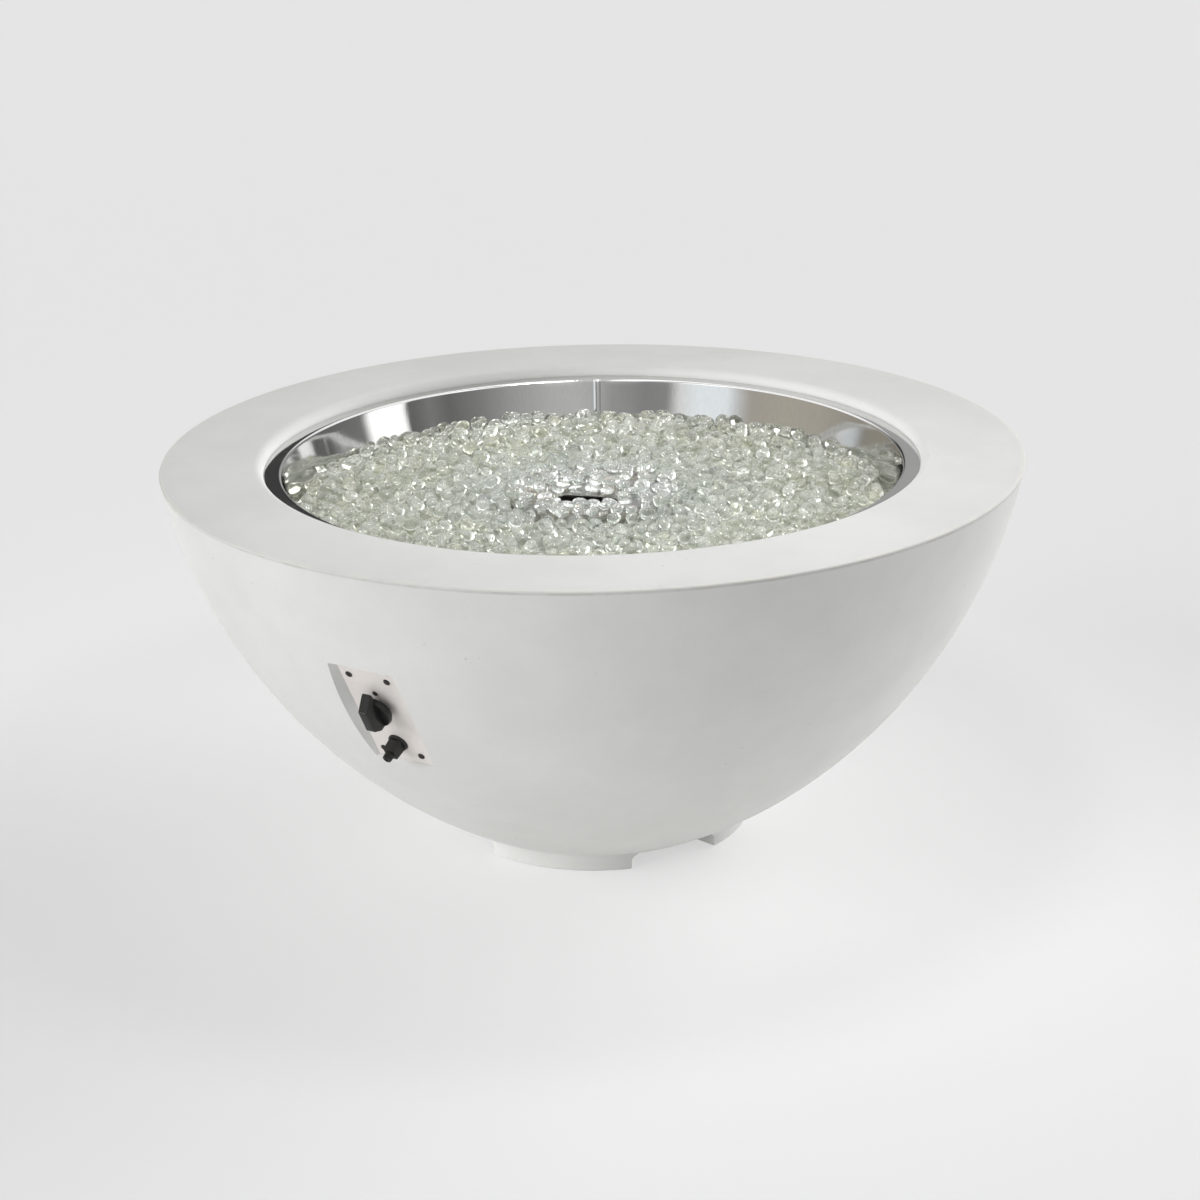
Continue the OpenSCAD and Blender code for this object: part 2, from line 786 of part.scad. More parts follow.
module fire_glass() {
    wall_at = function (z) flange_c[0] - flange_bend_r * cos(pan_draft)
        - (flange_c[1] + flange_bend_r * sin(pan_draft) - z) * tan(pan_draft) - glass_gap / cos(pan_draft);
    bottom = floor_z + glass_gap;
    low_r = floor_c[0] - 2;
    foot_clear = drum_r + drum_foot_w + 3;
    step_z = floor_z + drum_t + bolt_head_h + 3;
    edge_z = glass_z - 2;
    top_r = wall_at(edge_z);
    bend_z = floor_z + floor_bend_r + 2;
    hub_rise = bead_rise - 1;
    rings = max(4, round((top_r - hub_ring_r) / glass_ring));
    bed = [for (i = [1:rings]) let (r = top_r + (hub_ring_r - top_r) * i / rings)
        r < plate_r + glass_ring ? [r, hub_glass_z, hub_rise, 1] : [r, glass_z, bead_rise, 1]];
    hub = [for (i = [hub_rings - 1:-1:1]) [hub_ring_r, hub_glass_z, hub_rise, i / hub_rings]];
    section = concat(
        [[foot_clear, bottom, 0, 1], [low_r, bottom, 0, 1]],
        [[wall_at(bend_z), bend_z, 0, 1], [top_r, edge_z, 0, 1]],
        bed,
        hub,
        [[hub_ring_r, edge_z, 0, 0], [hub_ring_r, plate_top + glass_gap, 0, 0]],
        [[plate_r + glass_gap, plate_top + glass_gap, 0, 1], [plate_r + glass_gap, step_z, 0, 1]],
        [[foot_clear, step_z, 0, 1]]
    );
    n = len(section);
    points = [for (i = [0:n - 1]) for (j = [0:glass_sides - 1])
        let (a = 360 * j / glass_sides, row = section[i], p = row[0] * [cos(a), sin(a)],
            q = row[3] < 1 ? between(slot_edge(p), p, row[3]) : p)
        [q[0], q[1], row[1] + row[2] * bead(i, j)]];
    faces = [for (i = [0:n - 1]) for (j = [0:glass_sides - 1])
        let (a = i * glass_sides + j, b = i * glass_sides + (j + 1) % glass_sides,
            c = ((i + 1) % n) * glass_sides + j, d = ((i + 1) % n) * glass_sides + (j + 1) % glass_sides)
        each [[a, c, b], [b, c, d]]];
    color(glass_tint) polyhedron(points, faces);
}

// Control panel
module control_panel() {
    color(steel) at_panel() difference() {
        translate([-panel_w / 2, -panel_h / 2, seat_z]) cube([panel_w, panel_h, panel_t]);
        at_panel_screws() translate([0, 0, seat_z - 1])
            cylinder(r = panel_screw_r + fit_gap, h = panel_t + 2);
        translate([0, knob_up, seat_z - 1]) cylinder(r = stem_r + 1.5, h = panel_t + 2);
        translate([0, knob_up, 0]) at_valve_screws()
            translate([0, 0, seat_z - 1]) cylinder(r = valve_screw_r + fit_gap, h = panel_t + 2);
        translate([0, -igniter_down, seat_z - 1]) cylinder(r = igniter_bore_r + fit_gap, h = panel_t + 2);
    }
}

module panel_screws() {
    color(black) at_panel() at_panel_screws() {
        cylinder(r = panel_screw_head_r, h = panel_screw_head_h);
        translate([0, 0, seat_z - panel_screw_l])
            cylinder(r = panel_screw_r, h = panel_screw_l + panel_t + eps);
    }
}

module valve_screws() {
    head_r = 3.4;
    head_h = 1.8;
    color(black) at_knob() at_valve_screws() {
        cylinder(r = head_r, h = head_h);
        translate([0, 0, bonnet_back + 1]) cylinder(r = valve_screw_r, h = panel_t + bonnet_t - 1 + eps);
    }
}

// Valve
module valve_body() {
    color(brass) at_knob() difference() {
        translate([-valve_w / 2, -valve_h / 2, valve_back])
            cube([valve_w, valve_h, bonnet_back - valve_back]);
        for (x = [-1, 1]) for (y = [-1, 1])
            translate([x * valve_w / 2, y * valve_h / 2, valve_back - 1])
                cylinder(r = valve_corner_r, h = chamber_end - valve_back - 4);
        translate([0, 0, chamber_end]) cylinder(r = chamber_r, h = chamber_l + 1);
        translate([0, 0, plug_back - move_gap]) cylinder(r = plug_r + run_gap, h = plug_l + 2);
        translate([-valve_w / 2 - 1, 0, port_z]) rotate([0, 90, 0])
            cylinder(r = valve_bore_r, h = valve_w + 2);
    }
}

module valve_bonnet() {
    color(brass) at_knob() difference() {
        translate([-valve_w / 2, -valve_h / 2, bonnet_back]) cube([valve_w, valve_h, bonnet_t]);
        translate([0, 0, bonnet_back - 1]) cylinder(r = stem_r + run_gap, h = bonnet_t + 2);
        at_valve_screws() translate([0, 0, bonnet_back + 1 - eps])
            cylinder(r = valve_screw_r + run_gap, h = bonnet_t);
    }
}

module valve_plug() {
    color(brass) at_knob() difference() {
        translate([0, 0, plug_back]) cylinder(r = plug_r, h = plug_l);
        translate([-plug_r, -tongue_t / 2 - move_gap, plug_front - plug_slot_l])
            cube([2 * plug_r, tongue_t + 2 * move_gap, plug_slot_l + 1]);
        translate([0, plug_r + 1, port_z]) rotate([90, 0, 0])
            cylinder(r = valve_bore_r - 0.5, h = 2 * plug_r + 2);
    }
}

module valve_spring() {
    color(steel) at_knob()
        coil(chamber_end + fit_gap, cup_back - fit_gap, spring_mean_r, spring_wire_r, spring_turns);
}

module valve_spring_cup() {
    color(steel) at_knob() translate([0, 0, cup_back]) difference() {
        cylinder(r = chamber_r - move_gap, h = cup_t);
        translate([0, 0, -1]) cylinder(r = stem_r + move_gap, h = cup_t + 2);
    }
}

module valve_stem() {
    flat = stem_r * 0.6;
    color(steel) at_knob() {
        difference() {
            translate([0, 0, stem_end]) cylinder(r = stem_r, h = stem_front - stem_end);
            translate([-stem_r, flat, knob_foot]) cube([2 * stem_r, stem_r, stem_front]);
        }
        translate([0, 0, collar_back]) cylinder(r = collar_r, h = collar_t);
        translate([-stem_r + 0.3, -tongue_t / 2, stem_end - tongue_l])
            cube([2 * stem_r - 0.6, tongue_t, tongue_l + eps]);
    }
}

// Knob with a grip bar across a round skirt, its nose past the skirt's edge
module grip_side() {
    low = skirt_top - grip_bite;
    back = 1 - knob_d / 2;
    polygon([
        [back, low],
        [knob_d / 2 - 1, skirt_low + 1],
        [nose_l, skirt_top - nose_t],
        [nose_l, skirt_top],
        [grip_shift + grip_l / 2, knob_h],
        [grip_shift - grip_l / 2, knob_h],
        [back, knob_h - grip_shoulder]
    ]);
}

module knob() {
    dish = 2;
    foot_bevel = 1;
    edge_bevel = 1.5;
    bore_depth = stem_front - knob_foot + 1;
    color(black) at_knob() difference() {
        union() {
            rotate_extrude() polygon([
                [0, knob_foot],
                [knob_hub_r, knob_foot],
                [knob_hub_r, skirt_low],
                [knob_d / 2 - foot_bevel, skirt_low],
                [knob_d / 2, skirt_low + foot_bevel],
                [knob_d / 2, skirt_top - edge_bevel],
                [knob_d / 2 - edge_bevel, skirt_top],
                [knob_hub_r, skirt_top - dish],
                [0, skirt_top - dish]
            ]);
            rotate([90, 0, 90]) translate([0, 0, -grip_w / 2]) linear_extrude(grip_w) grip_side();
        }
        translate([0, 0, knob_foot - 1]) cylinder(r = stem_r + run_gap, h = bore_depth + 1);
        knob_pointer_form();
    }
}

// The pointer lies in the nose's slope, just below the face
module knob_pointer_form() {
    translate([0, grip_shift + grip_l / 2, knob_h]) rotate([-nose_slope, 0, 0])
        translate([-pointer_w / 2, pointer_edge, -pointer_t]) cube([pointer_w, pointer_l, pointer_t + eps]);
}

module knob_pointer() {
    color(pointer_grey) at_knob() knob_pointer_form();
}

// Valve fittings
module valve_outlet() {
    color(brass) at_knob() translate([valve_w / 2, 0, port_z]) rotate([0, 90, 0]) difference() {
        union() {
            hex_bar(fitting_hex, fitting_hex_t);
            cylinder(r = fitting_r, h = fitting_hex_t + fitting_l);
        }
        translate([0, 0, -1]) cylinder(r = valve_bore_r, h = fitting_hex_t + fitting_l + 2);
    }
}

module gas_inlet() {
    color(brass) at_knob() translate([-valve_w / 2, 0, port_z]) rotate([0, -90, 0]) difference() {
        union() {
            hex_bar(fitting_hex, fitting_hex_t);
            cylinder(r = fitting_r, h = fitting_hex_t + fitting_l);
        }
        translate([0, 0, -1]) cylinder(r = valve_bore_r, h = fitting_hex_t + fitting_l + 2);
    }
}

// Igniter
module igniter_housing() {
    color(black) at_igniter() difference() {
        union() {
            rotate_extrude() polygon([
                [0, 0],
                [igniter_d / 2, 0],
                [igniter_d / 2, igniter_flange_t - igniter_bevel],
                [igniter_d / 2 - igniter_bevel, igniter_flange_t],
                [0, igniter_flange_t]
            ]);
            translate([0, 0, -housing_l]) cylinder(r = igniter_bore_r, h = housing_l + eps);
        }
        translate([0, 0, battery_back]) cylinder(r = housing_in_r, h = housing_l + igniter_flange_t);
    }
}

module igniter_cap() {
    end_w = neck_w - neck_taper;
    color(black) at_igniter() difference() {
        union() {
            hull() {
                translate([-neck_w / 2, -neck_w / 2, igniter_flange_t]) cube([neck_w, neck_w, 0.1]);
                translate([-end_w / 2, -end_w / 2, cap_end - 0.1]) cube([end_w, end_w, 0.1]);
            }
            translate([0, 0, igniter_flange_t - cap_skirt_l])
                cylinder(r = cap_skirt_r, h = cap_skirt_l + eps);
        }
        cylinder(r = button_bore_r, h = cap_end + 1);
        translate([0, 0, igniter_flange_t - cap_skirt_l - 1])
            cylinder(r = retainer_bore_r, h = retainer_front - igniter_flange_t + cap_skirt_l + 1);
    }
}

module igniter_nut() {
    color(black) at_igniter() translate([0, 0, seat_z - nut_gap_t]) difference() {
        cylinder(r = igniter_nut_r, h = nut_gap_t);
        translate([0, 0, -1]) cylinder(r = igniter_bore_r + run_gap, h = nut_gap_t + 2);
    }
}

module igniter_button() {
    color(black) at_igniter() {
        translate([0, 0, button_back]) cylinder(r = retainer_r, h = retainer_t);
        rotate_extrude() polygon([
            [0, button_back],
            [button_r, button_back],
            [button_r, button_front - button_bevel],
            [button_r - button_bevel, button_front],
            [0, button_front]
        ]);
    }
}

module igniter_spring() {
    coil_r = (battery_r + battery_tip_r) / 2;
    low = battery_front + battery_tip_h + fit_gap;
    color(steel) at_igniter() coil(low, button_back - fit_gap, coil_r, spring_wire_r, spring_turns - 1);
}

module igniter_battery() {
    color(battery_grey) at_igniter() {
        translate([0, 0, battery_back]) cylinder(r = battery_r, h = battery_l);
        translate([0, 0, battery_front - eps]) cylinder(r = battery_tip_r, h = battery_tip_h + eps);
    }
}

// Spark electrode
module electrode_rod() {
    color(steel) translate([electrode_at[0], electrode_at[1], floor_z]) {
        translate([0, 0, -rod_down]) cylinder(r = rod_r, h = rod_down + rod_up - rod_bend_r);
        rotate([0, 0, burner_turn]) translate([-rod_bend_r, 0, rod_up - rod_bend_r]) {
            rotate([90, 0, 0]) rotate_extrude(angle = 90)
                translate([rod_bend_r, 0]) circle(r = rod_r, $fn = 24);
            translate([0, 0, rod_bend_r]) rotate([0, -90, 0]) cylinder(r = rod_r, h = rod_tip_l);
        }
    }
}

module electrode_insulator() {
    insulator_l = insulator_down + insulator_up;
    color(porcelain) translate([electrode_at[0], electrode_at[1], floor_z]) difference() {
        union() {
            translate([0, 0, -insulator_down]) cylinder(r = insulator_r, h = insulator_l);
            translate([0, 0, bracket_t]) cylinder(r = insulator_collar_r, h = insulator_collar_t);
        }
        translate([0, 0, -insulator_down - 1]) cylinder(r = rod_r + run_gap, h = insulator_l + 2);
    }
}

module electrode_bracket() {
    color(steel) translate([electrode_at[0], electrode_at[1], floor_z]) rotate([0, 0, burner_turn])
        difference() {
            translate([-bracket_foot, -bracket_foot, 0])
                cube([2 * bracket_foot, 2 * bracket_foot, bracket_t]);
            translate([0, 0, -1]) cylinder(r = insulator_r + fit_gap, h = bracket_t + 2);
        }
}

module ignition_lead() {
    color(red_sleeve) tube(smooth_route(lead_route, route_steps), wire_r, wire_sides, [1, 0, 0]);
}

module ground_wire() {
    color(green_sleeve) tube(smooth_route(ground_route, route_steps), wire_r, wire_sides, [1, 0, 0]);
}

bowl();
bowl_feet();
burner_pan();
pan_floor();
burner_drum();
burner_plate();
burner_bolts();
burner_nuts();
deflector();
inlet_nipple();
nipple_nut();
air_mixer();
gas_orifice();
elbow_fitting();
connector_hose();
hose_nuts();
fire_glass();
control_panel();
panel_screws();
valve_screws();
valve_body();
valve_bonnet();
valve_plug();
valve_spring();
valve_spring_cup();
valve_stem();
knob();
knob_pointer();
valve_outlet();
gas_inlet();
igniter_housing();
igniter_cap();
igniter_nut();
igniter_button();
igniter_spring();
igniter_battery();
electrode_rod();
electrode_insulator();
electrode_bracket();
ignition_lead();
ground_wire();
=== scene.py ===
"""Dresses a gas fire pit bowl: cast concrete, polished burner pan, glass beads and a control panel."""
import json
import math
import random

import bmesh
import bpy
import numpy as np
from mathutils import Matrix, Vector


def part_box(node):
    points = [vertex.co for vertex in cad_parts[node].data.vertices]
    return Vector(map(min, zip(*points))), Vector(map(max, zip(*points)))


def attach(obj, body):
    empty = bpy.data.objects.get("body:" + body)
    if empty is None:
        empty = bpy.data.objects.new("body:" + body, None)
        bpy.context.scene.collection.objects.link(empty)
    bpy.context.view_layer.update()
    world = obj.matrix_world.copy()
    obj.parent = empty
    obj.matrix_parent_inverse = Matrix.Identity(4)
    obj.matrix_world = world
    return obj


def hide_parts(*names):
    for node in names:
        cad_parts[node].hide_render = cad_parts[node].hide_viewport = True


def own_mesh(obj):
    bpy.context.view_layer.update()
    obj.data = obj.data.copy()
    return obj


bl_info = {
    "name": "Gas Fire Pit Bowl",
    "version": (1, 0, 0),
    "blender": (4, 5, 0),
    "location": "View3D > Sidebar > Fire Pit",
    "description": "Builds the bowl, burner pan, glass beads and controls of a gas fire pit",
    "category": "Add Mesh",
}

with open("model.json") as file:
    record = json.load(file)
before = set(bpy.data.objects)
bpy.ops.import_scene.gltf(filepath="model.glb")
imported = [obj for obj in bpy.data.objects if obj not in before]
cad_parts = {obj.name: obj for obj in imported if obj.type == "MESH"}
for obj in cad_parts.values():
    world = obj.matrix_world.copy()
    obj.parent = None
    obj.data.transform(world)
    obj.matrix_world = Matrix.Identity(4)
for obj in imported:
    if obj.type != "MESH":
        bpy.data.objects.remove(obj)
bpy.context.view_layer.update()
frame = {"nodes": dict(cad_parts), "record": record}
bowl_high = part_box("bowl")[1]
MERGE = 1e-6  # points closer than this become one
LEVEL = 1e-5  # heights closer than this count as level
OVERLAP = 0.001  # length by which one solid runs into another
ROUND_STEPS = 240  # facets round the bowl and the pan


def length(name, description, default):
    """A size in metres."""
    return bpy.props.FloatProperty(
        name=name, description=description, default=default, unit="LENGTH", precision=4
    )


def angle(name, description, degrees):
    """An angle, given in degrees."""
    return bpy.props.FloatProperty(
        name=name, description=description, default=math.radians(degrees), unit="ROTATION"
    )


def count(name, description, default):
    """A whole number of things."""
    return bpy.props.IntProperty(name=name, description=description, default=default, min=1)


def factor(name, description, default):
    """A plain number."""
    return bpy.props.FloatProperty(name=name, description=description, default=default)


def colour(name, description, default):
    """A linear colour."""
    return bpy.props.FloatVectorProperty(
        name=name, description=description, default=default, subtype="COLOR", min=0.0, max=1.0
    )


class BowlSettings(bpy.types.PropertyGroup):
    """Sizes and colours of the cast bowl."""

    rim_radius: length("Rim radius", "Outer radius of the rim", 0.5335)
    height: length("Height", "Top of the rim above the floor", bowl_high[2])
    arc_radius: length("Side curve", "Radius of the side's curve", 0.679)
    arc_rise: length("Curve centre", "Height of the curve's centre above the rim", 0.125)
    wall: length("Wall", "Thickness of the side", 0.026)
    slab: length("Rim slab", "Thickness of the rim", 0.040)
    edge_radius: length("Rim edge", "Radius of the rim's outer edge", 0.0020)
    opening_radius: length("Opening", "Radius of the opening", 0.408)
    lip_radius: length("Lip", "Radius of the rounded inner lip", 0.011)
    ledge_width: length("Ledge", "Width of the ledge that carries the pan", 0.016)
    ledge_drop: length("Ledge drop", "Depth of the ledge below the rim", 0.0155)
    base_thickness: length("Base", "Thickness of the base", 0.032)
    entry_radius: length("Gas entry", "Radius of the hole in the base", 0.100)
    foot_height: length("Foot height", "Height of the base above the floor", 0.020)
    foot_radius: length("Foot radius", "Radius of a foot's outer face", 0.1970)
    foot_width: length("Foot width", "Thickness of a foot", 0.040)
    foot_cove: length("Foot cove", "Radius of the cove above a foot", 0.022)
    foot_top: length("Foot top", "Height at which the cove meets the side", 0.036)
    foot_count: count("Feet", "Number of feet", 4)
    foot_sweep: angle("Foot sweep", "Arc that a foot covers", 54)
    foot_turn: angle("Foot turn", "Turn of the first foot from the panel", 16.1)
    foot_flare: length("Foot flare", "Radius of the cove at a foot's ends", 0.009)
    foot_root: length("Foot root", "Height of a foot's root inside the bowl", 0.012)
    foot_round: length("Foot edges", "Rounding of a foot's lower edges", 0.0042)
    pale: colour("Pale concrete", "Lightest tone of the casting", (0.765, 0.765, 0.752))
    dull: colour("Dull concrete", "Darkest tone of the casting", (0.685, 0.685, 0.670))
    # Tone of the rim's outer edge: partly the rubbed concrete, partly a painted highlight.
    worn_and_highlight: colour("Worn edge and highlight", "Tone of the rubbed edges", (0.800, 0.790, 0.740))
    scuff: colour("Scuff", "Tone of the brown scuffs", (0.420, 0.360, 0.270))
    # Painted shade: the dark line under the rim's edge.
    rim_shade: colour("Rim shade", "Tone of the line under the rim's edge", (0.360, 0.358, 0.345))


class BurnerSettings(bpy.types.PropertyGroup):
    """Sizes and colours of the pan and burner."""

    flange_radius: length("Flange", "Outer radius of the flange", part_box("burner_pan")[1][0])
    flange_width: length("Flange width", "Width of the flange", 0.021)
    flange_top: length("Flange height", "Height of the flange's top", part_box("burner_pan")[1][2])
    depth: length("Pan depth", "Depth of the pan below its flange", 0.076)
    sheet: length("Sheet", "Thickness of the sheet", 0.0015)
    draft: angle("Draft", "Lean of the pan's wall", 15.5)
    flange_bend: length("Flange bend", "Bend radius at the flange", 0.004)
    floor_bend: length("Floor bend", "Bend radius at the floor", 0.009)
    hole_radius: length("Inlet hole", "Radius of the hole for the gas inlet", 0.0108)
    seam_turn: angle("Seam", "Place of the lap seam round the wall", 119.7)
    seam_width: length("Seam width", "Width of the lap at the seam", 0.010)
    seam_rise: length("Seam rise", "Height of the lap above the wall", 0.0014)
    seam_edge: length("Seam edge", "Thickness of the lap at its edges", 0.0002)
    steel: colour("Steel", "Colour of polished stainless steel", (0.66, 0.66, 0.65))


class GlassSettings(bpy.types.PropertyGroup):
    """Sizes and colours of the fire glass."""

    bead_width: length("Bead width", "Mean width of a bead", 0.0192)
    bead_flatness: factor("Flatness", "Thickness of a bead over its width", 0.76)
    bed_top: length("Bed top", "Mean height of the upper beads' centres", 0.4325)
    lower_top: length("Lower layer", "Mean height of the lower beads' centres", 0.4215)
    bed_fill: length("Bed fill", "Height of the filling under the beads", 0.4140)
    fill_hole: length("Fill hole", "Radius of the filling's hole round the burner drum", 0.1035)
    fill_step: length("Fill step", "Radius of the step over the drum's foot and bolts", 0.118)
    fill_rise: length("Step height", "Height of that step above the pan's floor", 0.008)
    fill_gap: length("Fill gap", "Gap between the filling and the pan", 0.0008)
    clear_radius: length("Hub edge", "Radius of the burner plate under the beads", 0.1018)
    plate_top: length("Plate top", "Height of the burner plate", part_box("burner_plate")[1][2])
    slot_length: length("Slot length", "Length of the ignition slot", 0.076)
    slot_width: length("Slot width", "Width of the ignition slot", 0.024)
    slot_out: length("Slot place", "Distance of the slot from the middle", 0.030)
    slot_turn: angle("Slot turn", "Turn of the slot about the middle", 18)
    seed: count("Seed", "Seed of the scatter", 7)
    tint: colour("Glass", "Colour of the clear glass", (0.985, 0.988, 0.935))
    clear: colour("Clear glass", "Colour of the clearest beads, over the burner", (0.885, 0.925, 0.915))
    # Painted shade: the darker tone along each bead's outline.
    bead_outline_shade: colour("Edge", "Colour of the glass at a bead's edge", (0.58, 0.61, 0.50))
    bed_tint: colour("Bed", "Colour of the glass deep in the bed", (0.94, 0.94, 0.86))


class PanelSettings(bpy.types.PropertyGroup):
    """Sizes and colours of the control panel."""

    lean: angle("Lean", "Lean of the plate from upright", 27.5)
    out: length("Distance", "Distance of the plate from the bowl's axis", 0.452)
    height: length("Height", "Height of the plate's middle", 0.2935)
    width: length("Width", "Width of the plate", 0.076)
    tall: length("Length", "Height of the plate", 0.152)
    sheet: length("Plate", "Thickness of the plate", 0.002)
    gap: length("Gap", "Gap round the plate", 0.0005)
    slope: length("Slope", "Width of the slope round the plate", 0.014)
    pocket_reach: length("Pocket reach", "Reach of the pocket in front of the plate", 0.026)
    pocket_round: length("Pocket corners", "Rounding of the pocket's corners", 0.0012)
    window_width: length("Window width", "Width of the opening behind the plate", 0.040)
    window_top: length("Window top", "Top of that opening above the plate's middle", 0.0445)
    window_depth: length("Window depth", "Depth of that opening behind the plate", 0.062)
    window_round: length("Window corners", "Rounding of that opening's corners", 0.003)
    room_radius: length("Igniter room", "Radius of the opening behind the igniter", 0.0152)
    screw_x: length("Screws across", "Half the spacing of the screws across", 0.026)
    screw_y: length("Screws along", "Half the spacing of the screws along", 0.0625)
    knob_up: length("Knob place", "Height of the knob above the plate's middle", 0.017)
    knob_foot: length("Knob foot", "Gap between the plate and the knob", 0.004)
    hub_radius: length("Knob hub", "Radius of the knob's hub", 0.011)
    ring_radius: length("Knob ring", "Radius of the ring under the knob's skirt", 0.0184)
    ring_low: length("Ring foot", "Height of the ring's underside above the plate", 0.0056)
    ring_top: length("Ring top", "Height of the ring's top above the plate", 0.0082)
    knob_radius: length("Knob radius", "Radius of the knob's skirt", 0.020)
    skirt_low: length("Skirt foot", "Height of the skirt's underside above the plate", 0.009)
    skirt_top: length("Skirt", "Height of the knob's skirt above the plate", 0.014)
    knob_face: length("Knob face", "Height of the bar's face above the plate", 0.0295)
    grip_width: length("Grip width", "Width of the knob's bar", 0.0125)
    grip_length: length("Grip length", "Length of the bar's face", 0.030)
    grip_shift: length("Grip shift", "Shift of the bar's face towards its nose", 0.0035)
    grip_shoulder: length("Grip shoulder", "Drop of the bar's lower end below its face", 0.0095)
    nose_reach: length("Nose", "Reach of the bar's nose from the knob's axis", 0.031)
    nose_sheet: length("Nose edge", "Thickness of the nose's edge", 0.0025)
    grip_round: length("Grip edges", "Rounding of the bar's edges", 0.0007)
    valve_screw: length("Valve screws", "Distance of the valve's screws from the knob", 0.020)
    igniter_down: length("Igniter place", "Drop of the igniter below the plate's middle", 0.046)
    neck_width: length("Neck", "Side of the igniter's square neck", 0.016)
    neck_end: length("Neck end", "Height of the neck's end above the plate", 0.019)
    neck_foot: length("Neck foot", "Height of the neck's foot above the plate", 0.003)
    neck_round: length("Neck edges", "Rounding of the neck's edges", 0.0008)
    collar_radius: length("Collar", "Radius of the neck's collar in the plate", 0.0078)
    collar_wall: length("Collar wall", "Thickness of that collar", 0.0009)
    collar_depth: length("Collar depth", "Depth of that collar below the plate's face", 0.004)
    button_radius: length("Button", "Radius of the push button", 0.0055)
    button_end: length("Button end", "Height of the button's end above the plate", 0.027)
    button_gap: length("Button gap", "Gap round the push button", 0.0004)
    button_back: length("Button back", "Height of the button's back above the plate", 0.0011)
    button_stop: length("Button stop", "Thickness of the stop at the button's back", 0.0025)
    button_round: length("Button edge", "Rounding of the button's end", 0.0014)
    notch_width: length("Notch width", "Width of the notch across the button's end", 0.0016)
    notch_depth: length("Notch depth", "Depth of that notch", 0.0019)
    spring_wire: length("Spring wire", "Radius of the return springs' wire", 0.0006)
    spring_turns: count("Spring turns", "Turns of the igniter's spring; the valve's has one more", 5)
    black: colour("Black plastic", "Colour of the moulded plastic", (0.0105, 0.0105, 0.0100))


class StageSettings(bpy.types.PropertyGroup):
    """The camera, floor and light."""

    lens: factor("Lens", "Focal length on a 36 mm frame", 72.0)
    distance: length("Distance", "Distance of the camera from the bowl's axis", 2.8802)
    camera_height: length("Camera height", "Height of the camera above the floor", 1.3315)
    azimuth: angle("Azimuth", "Turn of the camera from the panel", 31.8)
    aim: angle("Aim", "Turn of the camera's aim from the bowl's axis", -0.127)
    pitch: angle("Pitch", "Tilt of the camera's aim", -19.933)
    roll: angle("Roll", "Roll of the camera", -1.139)
    left: factor("Left light", "Strength of the light from the left", 2.68)
    right: factor("Right light", "Strength of the light from the right", 2.95)
    fill: factor("Fill light", "Strength of the light from the right front", 0.20)
    top: factor("Top light", "Power of the lamp above the bowl", 4.7)
    walls: factor("Walls", "Strength of the even light from the sides", 0.02)
    overhead: factor("Overhead", "Strength of the even light from above", 0.03)
    ceiling: factor("Strip lights", "Tone of the ceiling's lights in metal and glass", 1.85)
    ceiling_low: factor("Ceiling", "Tone of the ceiling between its lights", 0.78)
    peak: factor("Softboxes", "Tone of the brightest softbox in metal and glass", 1.70)
    floor: colour("Floor", "Colour of the floor", (0.40, 0.40, 0.40))
    lit: factor("Lit floor", "Tone that the floor adds where it is seen", 0.52)
    glow: factor("Floor glow", "Tone that the floor adds where it lights the bowl", 0.165)
    bounce: colour("Bounce", "Colour of the floor where it lights the bowl", (0.90, 0.90, 0.89))
    backdrop: colour("Backdrop", "Colour of the background", (0.775, 0.775, 0.775))


def panel_frame():
    """The plate's own frame: X across it, Y up it, Z out of its front face."""
    p = bpy.context.scene.pit_panel
    return Matrix.Translation((0, -p.out, p.height)) @ Matrix.Rotation(math.radians(90) + p.lean, 4, "X")


def wall_radius(z):
    """Radius of the pan's wall at a height."""
    b = bpy.context.scene.pit_burner
    return b.flange_radius - b.flange_width - (b.flange_top - z) * math.tan(b.draft)


def deselect():
    """Leave edit mode with nothing selected, so that an operator acts on the new piece alone."""
    if bpy.context.object and bpy.context.object.mode != "OBJECT":
        bpy.ops.object.mode_set(mode="OBJECT")
    bpy.ops.object.select_all(action="DESELECT")


def pick(obj):
    """Select one piece alone and make it active."""
    deselect()
    obj.select_set(True)
    bpy.context.view_layer.objects.active = obj


def named(name):
    """The piece that an operator has just made, under its name."""
    obj = bpy.context.active_object
    obj.name = name
    obj.data.name = name
    return obj


def arc(centre, radius, start, stop, steps):
    """Points of an arc in the outline's plane, its angles in degrees."""
    turns = [math.radians(start + (stop - start) * i / steps) for i in range(steps + 1)]
    return [(centre[0] + radius * math.cos(t), centre[1] + radius * math.sin(t)) for t in turns]


def line(a, b, steps):
    """Points from a to b, without a."""
    return [(a[0] + (b[0] - a[0]) * i / steps, a[1] + (b[1] - a[1]) * i / steps) for i in range(1, steps + 1)]


